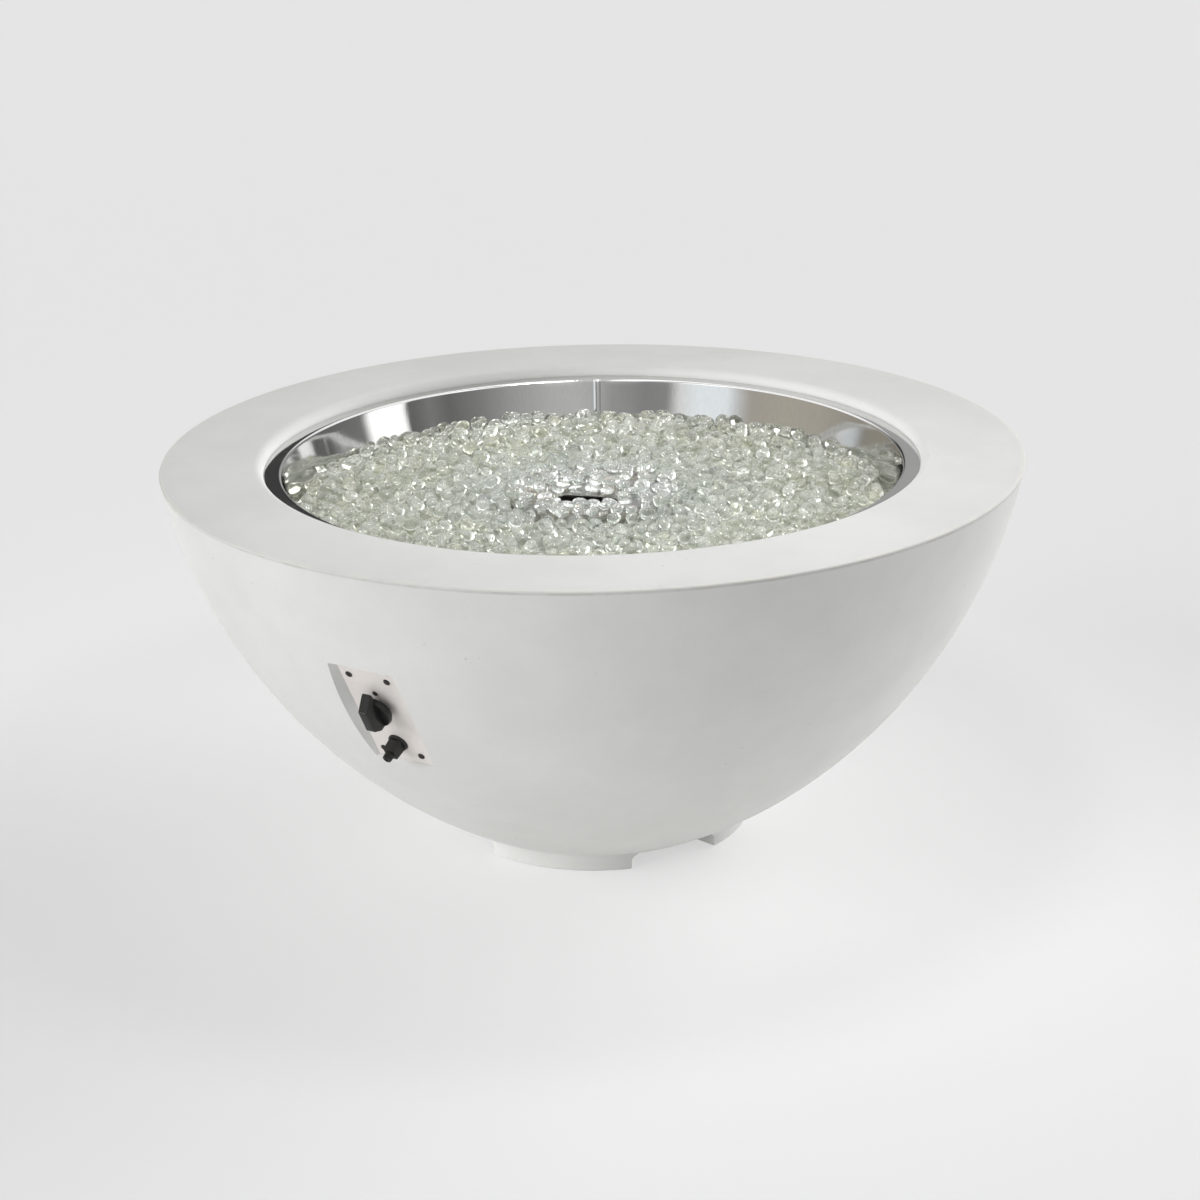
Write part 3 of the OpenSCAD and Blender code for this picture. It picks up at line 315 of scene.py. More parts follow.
def draw_outline(name, points):
    """Draw a closed line in the XZ plane by extruding one corner of a plane from point to point."""
    deselect()
    bpy.ops.mesh.primitive_plane_add(size=0.01)
    obj = named(name)
    bpy.ops.object.mode_set(mode="EDIT")
    mesh = bmesh.from_edit_mesh(obj.data)
    mesh.verts.ensure_lookup_table()
    bpy.ops.mesh.select_all(action="DESELECT")
    for corner in mesh.verts[1:]:
        corner.select_set(True)
    bpy.ops.mesh.delete(type="VERT")
    mesh = bmesh.from_edit_mesh(obj.data)
    mesh.verts.ensure_lookup_table()
    mesh.verts[0].co = (points[0][0], 0, points[0][1])
    bpy.ops.mesh.select_all(action="SELECT")
    for a, b in zip(points, points[1:]):
        step = (b[0] - a[0], 0, b[1] - a[1])
        bpy.ops.mesh.extrude_vertices_move(TRANSFORM_OT_translate={"value": step})
    mesh = bmesh.from_edit_mesh(obj.data)
    ends = [v for v in mesh.verts if len(v.link_edges) == 1]
    bpy.ops.mesh.select_all(action="DESELECT")
    for v in ends:
        v.select_set(True)
    bpy.ops.mesh.edge_face_add()
    return obj


def spin_outline(name, points, steps, sweep=math.tau):
    """Turn a closed outline about Z into a solid, left in edit mode."""
    obj = draw_outline(name, points)
    bpy.ops.mesh.select_all(action="SELECT")
    bpy.ops.mesh.spin(steps=steps, angle=-sweep, center=(0, 0, 0), axis=(0, 0, 1))
    bpy.ops.mesh.select_all(action="SELECT")
    bpy.ops.mesh.remove_doubles(threshold=MERGE)
    if sweep < math.tau:
        bpy.ops.mesh.select_all(action="DESELECT")
        bpy.ops.mesh.select_non_manifold()
        bpy.ops.mesh.fill_holes(sides=0)
    bpy.ops.mesh.select_all(action="SELECT")
    bpy.ops.mesh.normals_make_consistent(inside=False)
    return obj


def block(name, low, high):
    """A box between two corners, left in edit mode with nothing selected."""
    deselect()
    bpy.ops.mesh.primitive_cube_add(size=1)
    obj = named(name)
    bpy.ops.object.mode_set(mode="EDIT")
    size = [b - a for a, b in zip(low, high)]
    bpy.ops.transform.resize(value=size)
    bpy.ops.transform.translate(value=[(a + b) / 2 for a, b in zip(low, high)])
    bpy.ops.mesh.select_all(action="DESELECT")
    return obj


def select(obj, kind, test):
    """Select the points, edges or faces of a piece in edit mode that pass a test."""
    bpy.ops.mesh.select_mode(type=kind)
    bpy.ops.mesh.select_all(action="DESELECT")
    mesh = bmesh.from_edit_mesh(obj.data)
    for part in {"VERT": mesh.verts, "EDGE": mesh.edges, "FACE": mesh.faces}[kind]:
        if test(part):
            part.select_set(True)
    bmesh.update_edit_mesh(obj.data)


def faces_up(face):
    """Whether a face looks up its piece's Z axis."""
    return face.normal.z > 0.5


def climbs(edge, rise=0.01):
    """Whether an edge climbs along its piece's Z axis by more than a rise."""
    return abs(edge.verts[0].co.z - edge.verts[1].co.z) > rise


def bevel(width, segments):
    """Round the selected edges of the piece in edit mode."""
    bpy.ops.mesh.bevel(offset=width, offset_type="OFFSET", segments=segments, profile=0.5, affect="EDGES")


def combine(obj, other, operation):
    """Join a second solid to a piece, or cut it out of the piece."""
    pick(obj)
    step = obj.modifiers.new(operation, "BOOLEAN")
    step.operation = operation
    step.solver = "MANIFOLD"
    step.object = other
    bpy.ops.object.modifier_apply(modifier=step.name)
    bpy.data.meshes.remove(other.data)


def place(obj, where):
    """Move a piece by a matrix, with its place kept in its mesh."""
    pick(obj)
    obj.matrix_world = where
    bpy.ops.object.transform_apply(location=True, rotation=True, scale=True)
    return obj


def join(name, pieces):
    """Make one piece of several."""
    pick(pieces[0])
    for piece in pieces[1:]:
        piece.select_set(True)
    bpy.ops.object.join()
    return named(name)


def finish_piece(obj, slot, body, nodes, smooth, finish=None):
    """Smooth a piece, give it its slot's finish or another, and put it on its body."""
    pick(obj)
    bpy.ops.object.shade_smooth_by_angle(angle=math.radians(smooth))
    obj.data.materials.clear()
    obj.data.materials.append(FINISHES[finish or slot])
    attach(obj, body)
    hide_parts(*nodes)


class Nodes:
    """A tree of shader nodes that are added one after another."""

    def __init__(self, tree, coordinates):
        self.tree = tree
        self.coords = tree.nodes.new("ShaderNodeTexCoord").outputs[coordinates]

    def lead(self, value, socket):
        """Lead an output to a socket, or set the socket to a constant."""
        if isinstance(value, bpy.types.NodeSocket):
            self.tree.links.new(value, socket)
        elif socket.type == "RGBA":
            socket.default_value = (*value[:3], 1.0)
        else:
            socket.default_value = value

    def add(self, kind, *values, **named_values):
        """Add a node, with its inputs given in order or by name and its settings by name."""
        node = self.tree.nodes.new(kind)
        settings = [key for key in named_values if key in node.bl_rna.properties]
        for key in settings:
            setattr(node, key, named_values.pop(key))
        for value, socket in zip(values, node.inputs):
            self.lead(value, socket)
        for key, value in named_values.items():
            self.lead(value, node.inputs[key])
        return node

    def scaled(self, scale):
        """The coordinates, scaled apart along the axes."""
        return self.add("ShaderNodeMapping", Vector=self.coords, Scale=scale).outputs["Vector"]

    def noise(self, scale, detail=3.0, roughness=0.5, vector=None):
        """A cloud pattern from 0 to 1."""
        node = self.add("ShaderNodeTexNoise", Scale=scale, Detail=detail, Roughness=roughness)
        self.lead(vector or self.coords, node.inputs["Vector"])
        return node.outputs["Fac"]

    def span(self, value, low, high, out_low=0.0, out_high=1.0, smooth=True):
        """A value between low and high, spread over a new range."""
        kind = "SMOOTHSTEP" if smooth else "LINEAR"
        node = self.add("ShaderNodeMapRange", value, low, high, out_low, out_high, interpolation_type=kind)
        return node.outputs["Result"]

    def maths(self, operation, *values):
        """The result of an operation on two values or three."""
        return self.add("ShaderNodeMath", *values, operation=operation).outputs["Value"]

    def mix(self, amount, a, b):
        """A colour between two others."""
        node = self.add("ShaderNodeMix", amount, data_type="RGBA")
        self.lead(a, node.inputs[6])
        self.lead(b, node.inputs[7])
        return node.outputs[2]


class Finish(Nodes):
    """A material whose nodes lead to one surface shader."""

    def __init__(self, name, **constants):
        self.material = bpy.data.materials.new(name)
        self.material.use_nodes = True
        super().__init__(self.material.node_tree, "Object")
        self.shader = self.tree.nodes["Principled BSDF"]
        for socket, value in constants.items():
            self.link(value, socket.replace("_", " "))

    def link(self, value, socket):
        """Lead an output or a constant to one of the shader's sockets."""
        self.lead(value, self.shader.inputs[socket])

    def bump(self, height, distance, strength, under=None):
        """A relief of some depth in metres, over another where one is given."""
        node = self.add("ShaderNodeBump", Height=height, Distance=distance, Strength=strength)
        if under is not None:
            self.lead(under, node.inputs["Normal"])
        return node.outputs["Normal"]

    def radius(self):
        """Distance of a point from the bowl's axis."""
        flat = self.scaled((1, 1, 0))
        return self.add("ShaderNodeVectorMath", operation="LENGTH", Vector=flat).outputs["Value"]

    def height(self):
        """Height of a point above the floor."""
        return self.add("ShaderNodeSeparateXYZ", Vector=self.coords).outputs["Z"]


def concrete_finish(name):
    """Cast concrete with clouds of tone, fine grain, small pits, rubbed edges with a painted highlight, a
    painted shade line under the rim's edge and faint scuffs.
    """
    b = bpy.context.scene.pit_bowl
    f = Finish(name, Specular_IOR_Level=0.28)
    clouds = f.span(f.noise(5.5, 5.0, 0.58), 0.34, 0.68)
    stains = f.span(f.noise(17.0, 6.0, 0.62), 0.40, 0.74)
    grain = f.noise(620.0, 3.0, 0.6)
    tone = f.mix(f.maths("MULTIPLY", clouds, 0.55), b.pale, b.dull)
    tone = f.mix(f.maths("MULTIPLY", stains, 0.30), tone, b.dull)
    tone = f.mix(f.span(grain, 0.30, 0.70, 0.0, 0.16), tone, b.dull)
    dots = f.add("ShaderNodeTexVoronoi", Vector=f.coords, Scale=46.0).outputs["Distance"]
    sparse = f.span(f.noise(9.0, 2.0), 0.56, 0.66)
    pits = f.maths("MULTIPLY", f.span(dots, 0.09, 0.04), sparse)
    tone = f.mix(f.maths("MULTIPLY", pits, 0.45), tone, b.scuff)
    height = f.height()
    # The rim's rounded outer edge is lighter in broken patches: partly wear, partly a painted highlight.
    top = f.span(height, b.height - 0.0035, b.height - 0.0015)
    outer = f.span(f.radius(), b.rim_radius - 0.0065, b.rim_radius - 0.0020)
    wear_and_painted_light_breaks = f.span(f.noise(38.0, 4.0), 0.36, 0.62, 0.25, 1.0)
    edge = f.maths("MULTIPLY", f.maths("MULTIPLY", top, outer), wear_and_painted_light_breaks)
    tone = f.mix(f.maths("MULTIPLY", edge, 0.75), tone, b.worn_and_highlight)
    # A dark line just under the rim's edge: painted shade, broken by the same noise.
    upper = f.span(height, b.height - 0.0012, b.height - 0.0026)
    lower = f.span(height, b.height - 0.0060, b.height - 0.0038)
    side = f.span(f.radius(), b.rim_radius - 0.012, b.rim_radius - 0.008)
    under = f.maths("MULTIPLY", f.maths("MULTIPLY", upper, lower), side)
    rim_shade = f.maths("MULTIPLY", under, f.maths("MAXIMUM", wear_and_painted_light_breaks, 0.6))
    tone = f.mix(f.maths("MULTIPLY", rim_shade, 0.45), tone, b.rim_shade)
    marks = f.span(f.noise(3.4, 6.0, 0.66, f.scaled((1.0, 1.0, 0.6))), 0.66, 0.80)
    tone = f.mix(f.maths("MULTIPLY", marks, 0.22), tone, b.scuff)
    f.link(tone, "Base Color")
    f.link(f.span(grain, 0.2, 0.8, 0.62, 0.82), "Roughness")
    relief = f.bump(f.noise(34.0, 4.0), 0.0010, 0.35)
    relief = f.bump(grain, 0.0004, 0.35, relief)
    relief = f.bump(f.maths("SUBTRACT", 1.0, pits), 0.0008, 0.6, relief)
    f.link(relief, "Normal")
    return f.material


def polished_finish(name):
    """Polished stainless sheet with faint upright rolling marks and a slight wave."""
    b = bpy.context.scene.pit_burner
    f = Finish(name, Metallic=1.0)
    marks = f.noise(1.0, 3.0, 0.6, f.scaled((330.0, 330.0, 6.0)))
    smears = f.noise(9.0, 5.0, 0.6)
    f.link(f.mix(f.span(marks, 0.3, 0.7, 0.0, 0.22), b.steel, (0.54, 0.54, 0.54)), "Base Color")
    rough = f.maths("ADD", f.span(marks, 0.3, 0.7, 0.045, 0.09), f.span(smears, 0.5, 0.75, 0.0, 0.07))
    f.link(rough, "Roughness")
    wave = f.bump(f.noise(7.0, 1.0, 0.4), 0.004, 0.2)
    f.link(f.bump(marks, 0.00004, 0.4, wave), "Normal")
    return f.material


def brushed_finish(name, tone, dark, rough, scale, heat=0.0, metal=1.0):
    """Satin metal with fine parallel marks, and a straw tint where it has been hot."""
    f = Finish(name, Metallic=metal)
    marks = f.noise(1.0, 4.0, 0.62, f.scaled(scale))
    patches = f.noise(22.0, 4.0)
    base = f.mix(f.span(marks, 0.25, 0.75, 0.0, 0.5), tone, dark)
    if heat:
        base = f.mix(f.maths("MULTIPLY", f.span(patches, 0.4, 0.7), heat), base, (0.42, 0.33, 0.22))
    f.link(base, "Base Color")
    streaks = f.span(marks, 0.2, 0.8, rough * 0.75, rough * 1.2)
    f.link(f.maths("ADD", streaks, f.span(patches, 0.4, 0.8, 0.0, 0.06)), "Roughness")
    f.link(f.bump(marks, 0.00008, 0.4), "Normal")
    return f.material


def plastic_finish(name, tone, lift, rough, grain=1500.0):
    """Moulded plastic with a fine texture and lighter patches here and there."""
    f = Finish(name, Specular_IOR_Level=0.42)
    texture = f.noise(grain, 2.0, 0.55)
    patches = f.noise(60.0, 4.0)
    f.link(f.mix(f.span(patches, 0.35, 0.75, 0.0, 0.55), tone, lift), "Base Color")
    grained = f.span(texture, 0.3, 0.7, rough - 0.06, rough + 0.06)
    f.link(f.maths("ADD", grained, f.span(patches, 0.4, 0.7, 0.0, 0.08)), "Roughness")
    f.link(f.bump(texture, 0.00012, 0.35), "Normal")
    return f.material


def corrugated_finish(name):
    """A corrugated steel connector: close rings along its run, with painted shade in their grooves."""
    f = Finish(name, Metallic=1.0)
    rings = f.add("ShaderNodeTexWave", Vector=f.coords, Scale=95.0, bands_direction="Y").outputs["Fac"]
    # Darker where the rings' relief is low: painted shade in the grooves.
    f.link(f.mix(f.span(rings, 0.2, 0.8), (0.30, 0.30, 0.30), (0.62, 0.62, 0.61)), "Base Color")
    f.link(f.span(rings, 0.0, 1.0, 0.38, 0.24), "Roughness")
    f.link(f.bump(rings, 0.0012, 0.7), "Normal")
    return f.material


def bead_finish(name):
    """Clear glass beads, each with its own faint tint, and painted shade along each bead's outline."""
    g = bpy.context.scene.pit_glass
    f = Finish(name, Roughness=0.0, IOR=1.52, Transmission_Weight=0.84, Specular_IOR_Level=0.6)
    shade = f.add("ShaderNodeAttribute", attribute_name="bead_tone").outputs["Fac"]
    tint = f.mix(f.span(shade, 0.0, 0.75, 0.0, 1.0, False), g.tint, (0.955, 0.970, 0.940))
    tint = f.mix(f.span(shade, 0.86, 0.95), tint, (0.95, 0.95, 0.83))
    swirl = f.noise(160.0, 2.0)
    tint = f.mix(f.span(swirl, 0.45, 0.75, 0.0, 0.25), tint, (0.985, 0.99, 0.98))
    # Painted shade: each bead darkens towards its outline, its widest ring.
    edge = f.add("ShaderNodeAttribute", attribute_name="bead_edge").outputs["Fac"]
    tint = f.mix(f.span(edge, 0.55, 1.0, 0.0, 0.80), tint, g.bead_outline_shade)
    middle = f.span(f.radius(), 0.27, 0.09, 0.0, 0.6)
    f.link(f.mix(middle, tint, g.clear), "Base Color")
    return f.material


def bed_finish(name):
    """The deeper glass that shows between the upper beads, with painted shade outlining its cells and painted
    glints.
    """
    g = bpy.context.scene.pit_glass
    f = Finish(name, Roughness=0.2, IOR=1.5)
    cells = f.add("ShaderNodeTexVoronoi", Vector=f.coords, Scale=62.0).outputs["Distance"]
    sparkle = f.span(f.noise(150.0, 3.0), 0.4, 0.72)
    # Darker towards each cell's border: painted shade outlining the deeper beads. The sparkle adds painted
    # glints.
    tone = f.mix(f.span(cells, 0.1, 0.7), g.bed_tint, (0.62, 0.63, 0.55))
    f.link(f.mix(f.maths("MULTIPLY", sparkle, 0.55), tone, (0.92, 0.94, 0.90)), "Base Color")
    f.link(f.bump(cells, 0.006, 0.8), "Normal")
    return f.material


FINISHES = {}


class PIT_OT_materials(bpy.types.Operator):
    """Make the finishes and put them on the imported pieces"""

    bl_idname = "pit.materials"
    bl_label = "Finishes"

    def execute(self, context):
        black = tuple(context.scene.pit_panel.black)
        FINISHES.update(
            concrete=concrete_finish("Cast concrete"),
            stainless=polished_finish("Polished stainless"),
            hub_steel=brushed_finish(
                "Hub stainless", (0.60, 0.60, 0.59), (0.42, 0.41, 0.40), 0.20, (60, 60, 60), heat=0.45
            ),
            panel_steel=brushed_finish(
                "Panel stainless", (0.85, 0.805, 0.775), (0.79, 0.75, 0.725), 0.52, (14, 900, 900), metal=0.28
            ),
            brass=brushed_finish(
                "Turned brass", (0.72, 0.53, 0.22), (0.50, 0.35, 0.13), 0.28, (260, 260, 260)
            ),
            fire_glass=bead_finish("Fire glass"),
            black_plastic=plastic_finish("Black moulded plastic", black, (0.021, 0.021, 0.020), 0.42),
            black_steel=plastic_finish(
                "Blackened screws", (0.016, 0.015, 0.014), (0.05, 0.045, 0.04), 0.36, 900.0
            ),
            pale_plastic=plastic_finish("Pale pointer", (0.40, 0.39, 0.36), (0.30, 0.29, 0.27), 0.42),
            spring_steel=brushed_finish(
                "Spring wire", (0.52, 0.52, 0.51), (0.36, 0.36, 0.35), 0.3, (500, 500, 500)
            ),
            ceramic=plastic_finish("Glazed porcelain", (0.80, 0.78, 0.73), (0.72, 0.69, 0.62), 0.22, 300.0),
            hose=corrugated_finish("Corrugated connector"),
            red_sleeve=plastic_finish("Red sleeve", (0.26, 0.045, 0.03), (0.32, 0.08, 0.05), 0.55, 700.0),
            green_sleeve=plastic_finish("Green sleeve", (0.03, 0.12, 0.04), (0.06, 0.17, 0.07), 0.55, 700.0),
            battery=plastic_finish("Battery sleeve", (0.09, 0.10, 0.11), (0.14, 0.15, 0.16), 0.30, 200.0),
            bed=bed_finish("Glass bed"),
        )
        slots = {row["node"]: row["material_slot"] for row in frame["record"]["subparts"]}
        hub = ("burner_plate", "burner_drum", "deflector", "electrode_bracket", "burner_bolts", "burner_nuts")
        for node, obj in frame["nodes"].items():
            finish = FINISHES["hub_steel" if node in hub else slots[node]]
            obj.data.materials.clear()
            obj.data.materials.append(finish)
        return {"FINISHED"}


class PIT_OT_bowl(bpy.types.Operator):
    """Spin the cast bowl, add its feet and cut the pocket for the panel"""

    bl_idname = "pit.bowl"
    bl_label = "Bowl"

    def outline(self, b):
        """The bowl's closed section, from the hole in the base round by the rim and back."""
        centre = (b.rim_radius - math.sqrt(b.arc_radius ** 2 - b.arc_rise ** 2), b.height + b.arc_rise)

        def side(radius, low, high, steps):
            start = math.degrees(math.asin((low - centre[1]) / radius))
            stop = math.degrees(math.asin((high - centre[1]) / radius))
            return arc(centre, radius, start, stop, steps)

        base_top = b.foot_height + b.base_thickness
        slab_low = b.height - b.slab
        ledge = b.opening_radius - b.ledge_width
        ledge_z = b.height - b.ledge_drop
        edge = b.edge_radius
        outer = side(b.arc_radius, b.foot_height, b.height - edge, 44)
        inner = side(b.arc_radius - b.wall, base_top, slab_low, 30)
        rim = (b.opening_radius + b.lip_radius, b.height)
        points = [(b.entry_radius, b.foot_height)]
        points += line(points[0], outer[0], 4)[:-1] + outer
        points += arc((b.rim_radius - edge, b.height - edge), edge, 0, 90, 5)[1:]
        points += line(points[-1], rim, 8)
        points += arc((rim[0], b.height - b.lip_radius), b.lip_radius, 90, 180, 8)[1:]
        points += [(b.opening_radius, ledge_z), (ledge, ledge_z), (ledge, slab_low)]
        points += line(points[-1], inner[-1], 5)[:-1] + inner[::-1]
        points += [(b.entry_radius, base_top)]
        return points

    def foot(self, b, turn):
        """One foot: a swept section with a cove above it, coved ends and rounded lower edges."""
        reach = b.foot_radius + b.foot_cove
        cove = arc((reach, b.foot_top - b.foot_cove), b.foot_cove, 180, 90, 8)
        inner = b.foot_radius - b.foot_width
        top = b.foot_top + b.foot_root
        points = [(inner, 0.0), (b.foot_radius, 0.0)] + cove + [(reach, top), (inner, top)]
        points += [(inner, z) for _, z in cove[::-1]]
        obj = spin_outline("foot", points, 26, b.foot_sweep)
        slack, sharp = 1e-3, 0.5

        def end_of(v):
            place_round = math.atan2(v.co.y, v.co.x)
            return -1 if place_round < slack else 1 if place_round > b.foot_sweep - slack else 0

        def lower_edge(edge):
            return all(v.co.z < LEVEL for v in edge.verts) and edge.calc_face_angle(0) > sharp

        ends = [(v.co.copy(), end_of(v)) for v in bmesh.from_edit_mesh(obj.data).verts if end_of(v)]
        flare_low = b.foot_height - b.foot_flare
        for side in (-1, 1):
            along = 0.0 if side < 0 else b.foot_sweep
            for z in sorted({round(co.z, 6) for co, end in ends if end == side and co.z > flare_low}):
                rise = min(z - flare_low, b.foot_flare)
                push = side * (b.foot_flare - math.sqrt(b.foot_flare ** 2 - rise ** 2))
                select(obj, "VERT", lambda v: end_of(v) == side and abs(v.co.z - z) < LEVEL)
                bpy.ops.transform.translate(value=(-push * math.sin(along), push * math.cos(along), 0))
        bpy.ops.mesh.select_all(action="SELECT")
        bpy.ops.mesh.normals_make_consistent(inside=False)
        select(obj, "EDGE", lower_edge)
        bevel(b.foot_round, 5)
        return place(obj, Matrix.Rotation(turn, 4, "Z"))

    def pocket(self, p):
        """The slope-sided pocket and the openings behind the plate."""
        half_w = p.width / 2 + p.gap
        half_h = p.tall / 2 + p.gap
        recess = block("recess", (-half_w, -half_h, -p.sheet), (half_w, half_h, OVERLAP))
        obj = block("pocket", (-half_w, -half_h, 0.0), (half_w, half_h, p.pocket_reach))
        wide = (half_w + 2 * p.slope) / half_w
        tall = (2 * half_h + 3 * p.slope) / (2 * half_h)
        select(obj, "FACE", faces_up)
        bpy.ops.transform.resize(value=(wide, tall, 1))
        bpy.ops.transform.translate(value=(0, p.slope / 2, 0))
        select(obj, "EDGE", climbs)
        bevel(p.pocket_round, 2)
        low = (-p.window_width / 2, -p.igniter_down, -p.window_depth)
        window = block("window", low, (p.window_width / 2, p.window_top, 0.0))
        select(window, "EDGE", climbs)
        bevel(p.window_round, 2)
        deselect()
        middle = (0, -p.igniter_down, -p.window_depth / 2)
        bpy.ops.mesh.primitive_cylinder_add(
            vertices=48, radius=p.room_radius, depth=p.window_depth, location=middle
        )
        bore = named("igniter_room")
        bpy.ops.object.transform_apply(location=True, rotation=True, scale=True)
        combine(window, bore, "UNION")
        combine(obj, recess, "UNION")
        combine(obj, window, "UNION")
        return place(obj, panel_frame())

    def execute(self, context):
        b = context.scene.pit_bowl
        p = context.scene.pit_panel
        bowl = spin_outline("cast_bowl", self.outline(b), ROUND_STEPS)
        for i in range(b.foot_count):
            turn = b.foot_turn - math.radians(90) - b.foot_sweep / 2 + math.tau * i / b.foot_count
            combine(bowl, self.foot(b, turn), "UNION")
        combine(bowl, self.pocket(p), "DIFFERENCE")
        finish_piece(bowl, "concrete", "fire_pit", ("bowl", "bowl_feet"), 32)
        return {"FINISHED"}


class PIT_OT_pan(bpy.types.Operator):
    """Spin the burner pan from its bent section and lap its seam"""

    bl_idname = "pit.pan"
    bl_label = "Burner pan"

    def section(self, b, inner=0.0):
        """Points of the pan's inner face from the flange's edge to the floor, set in by an amount."""
        wall = b.flange_radius - b.flange_width
        draft = math.degrees(b.draft)
        bend = (wall + b.flange_bend, b.flange_top - b.flange_bend)
        total = b.flange_bend + b.floor_bend
        run = (b.depth - total + total * math.sin(b.draft)) / math.cos(b.draft)
        foot = (
            bend[0] - total * math.cos(b.draft) - run * math.sin(b.draft),
            b.flange_top - b.depth + b.floor_bend,
        )
        upper = arc(bend, b.flange_bend + inner, 90, 180 - draft, 8)
        lower = arc(foot, b.floor_bend - inner, -draft, -90, 8)
        middle = line(upper[-1], lower[0], 8)[:-1]
        return upper, middle, lower

    def execute(self, context):
        b = context.scene.pit_burner
        upper, middle, lower = self.section(b)
        floor = b.flange_top - b.depth
        inside = [(b.flange_radius, b.flange_top)] + line((b.flange_radius, b.flange_top), upper[0], 3)[:-1]
        inside += upper + middle + lower + line(lower[-1], (b.hole_radius, floor), 12)
        up, mid, low = self.section(b, -b.sheet)
        outside = [(b.flange_radius, b.flange_top - b.sheet)] + up + mid + low
        outside += [(b.hole_radius, floor - b.sheet)]
        pan = spin_outline("burner_pan_sheet", inside + outside[::-1], ROUND_STEPS)
        bpy.ops.object.mode_set(mode="OBJECT")
        steps, bend_start, bend_stop = 8, 3, 5
        up, mid, low = self.section(b, b.seam_edge)
        strip_in = up[bend_start:] + mid + low[:bend_stop]
        strip_out = (upper[bend_start:] + middle + lower[:bend_stop])[::-1]
        sweep = b.seam_width / (b.flange_radius - b.flange_width)
        slack = sweep / steps / 4
        lap = spin_outline("lap", strip_in + strip_out, steps, sweep)
        for i in range(1, steps):
            turn = sweep * i / steps
            select(lap, "VERT", lambda v: abs(math.atan2(v.co.y, v.co.x) - turn) < slack)
            push = -b.seam_rise * math.sin(math.pi * i / steps)
            bpy.ops.transform.translate(value=(push * math.cos(turn), push * math.sin(turn), 0))
        place(lap, Matrix.Rotation(b.seam_turn, 4, "Z"))
        pan = join("burner_pan_sheet", [pan, lap])
        finish_piece(pan, "stainless", "fire_pit", ("burner_pan", "pan_floor"), 32)
        return {"FINISHED"}


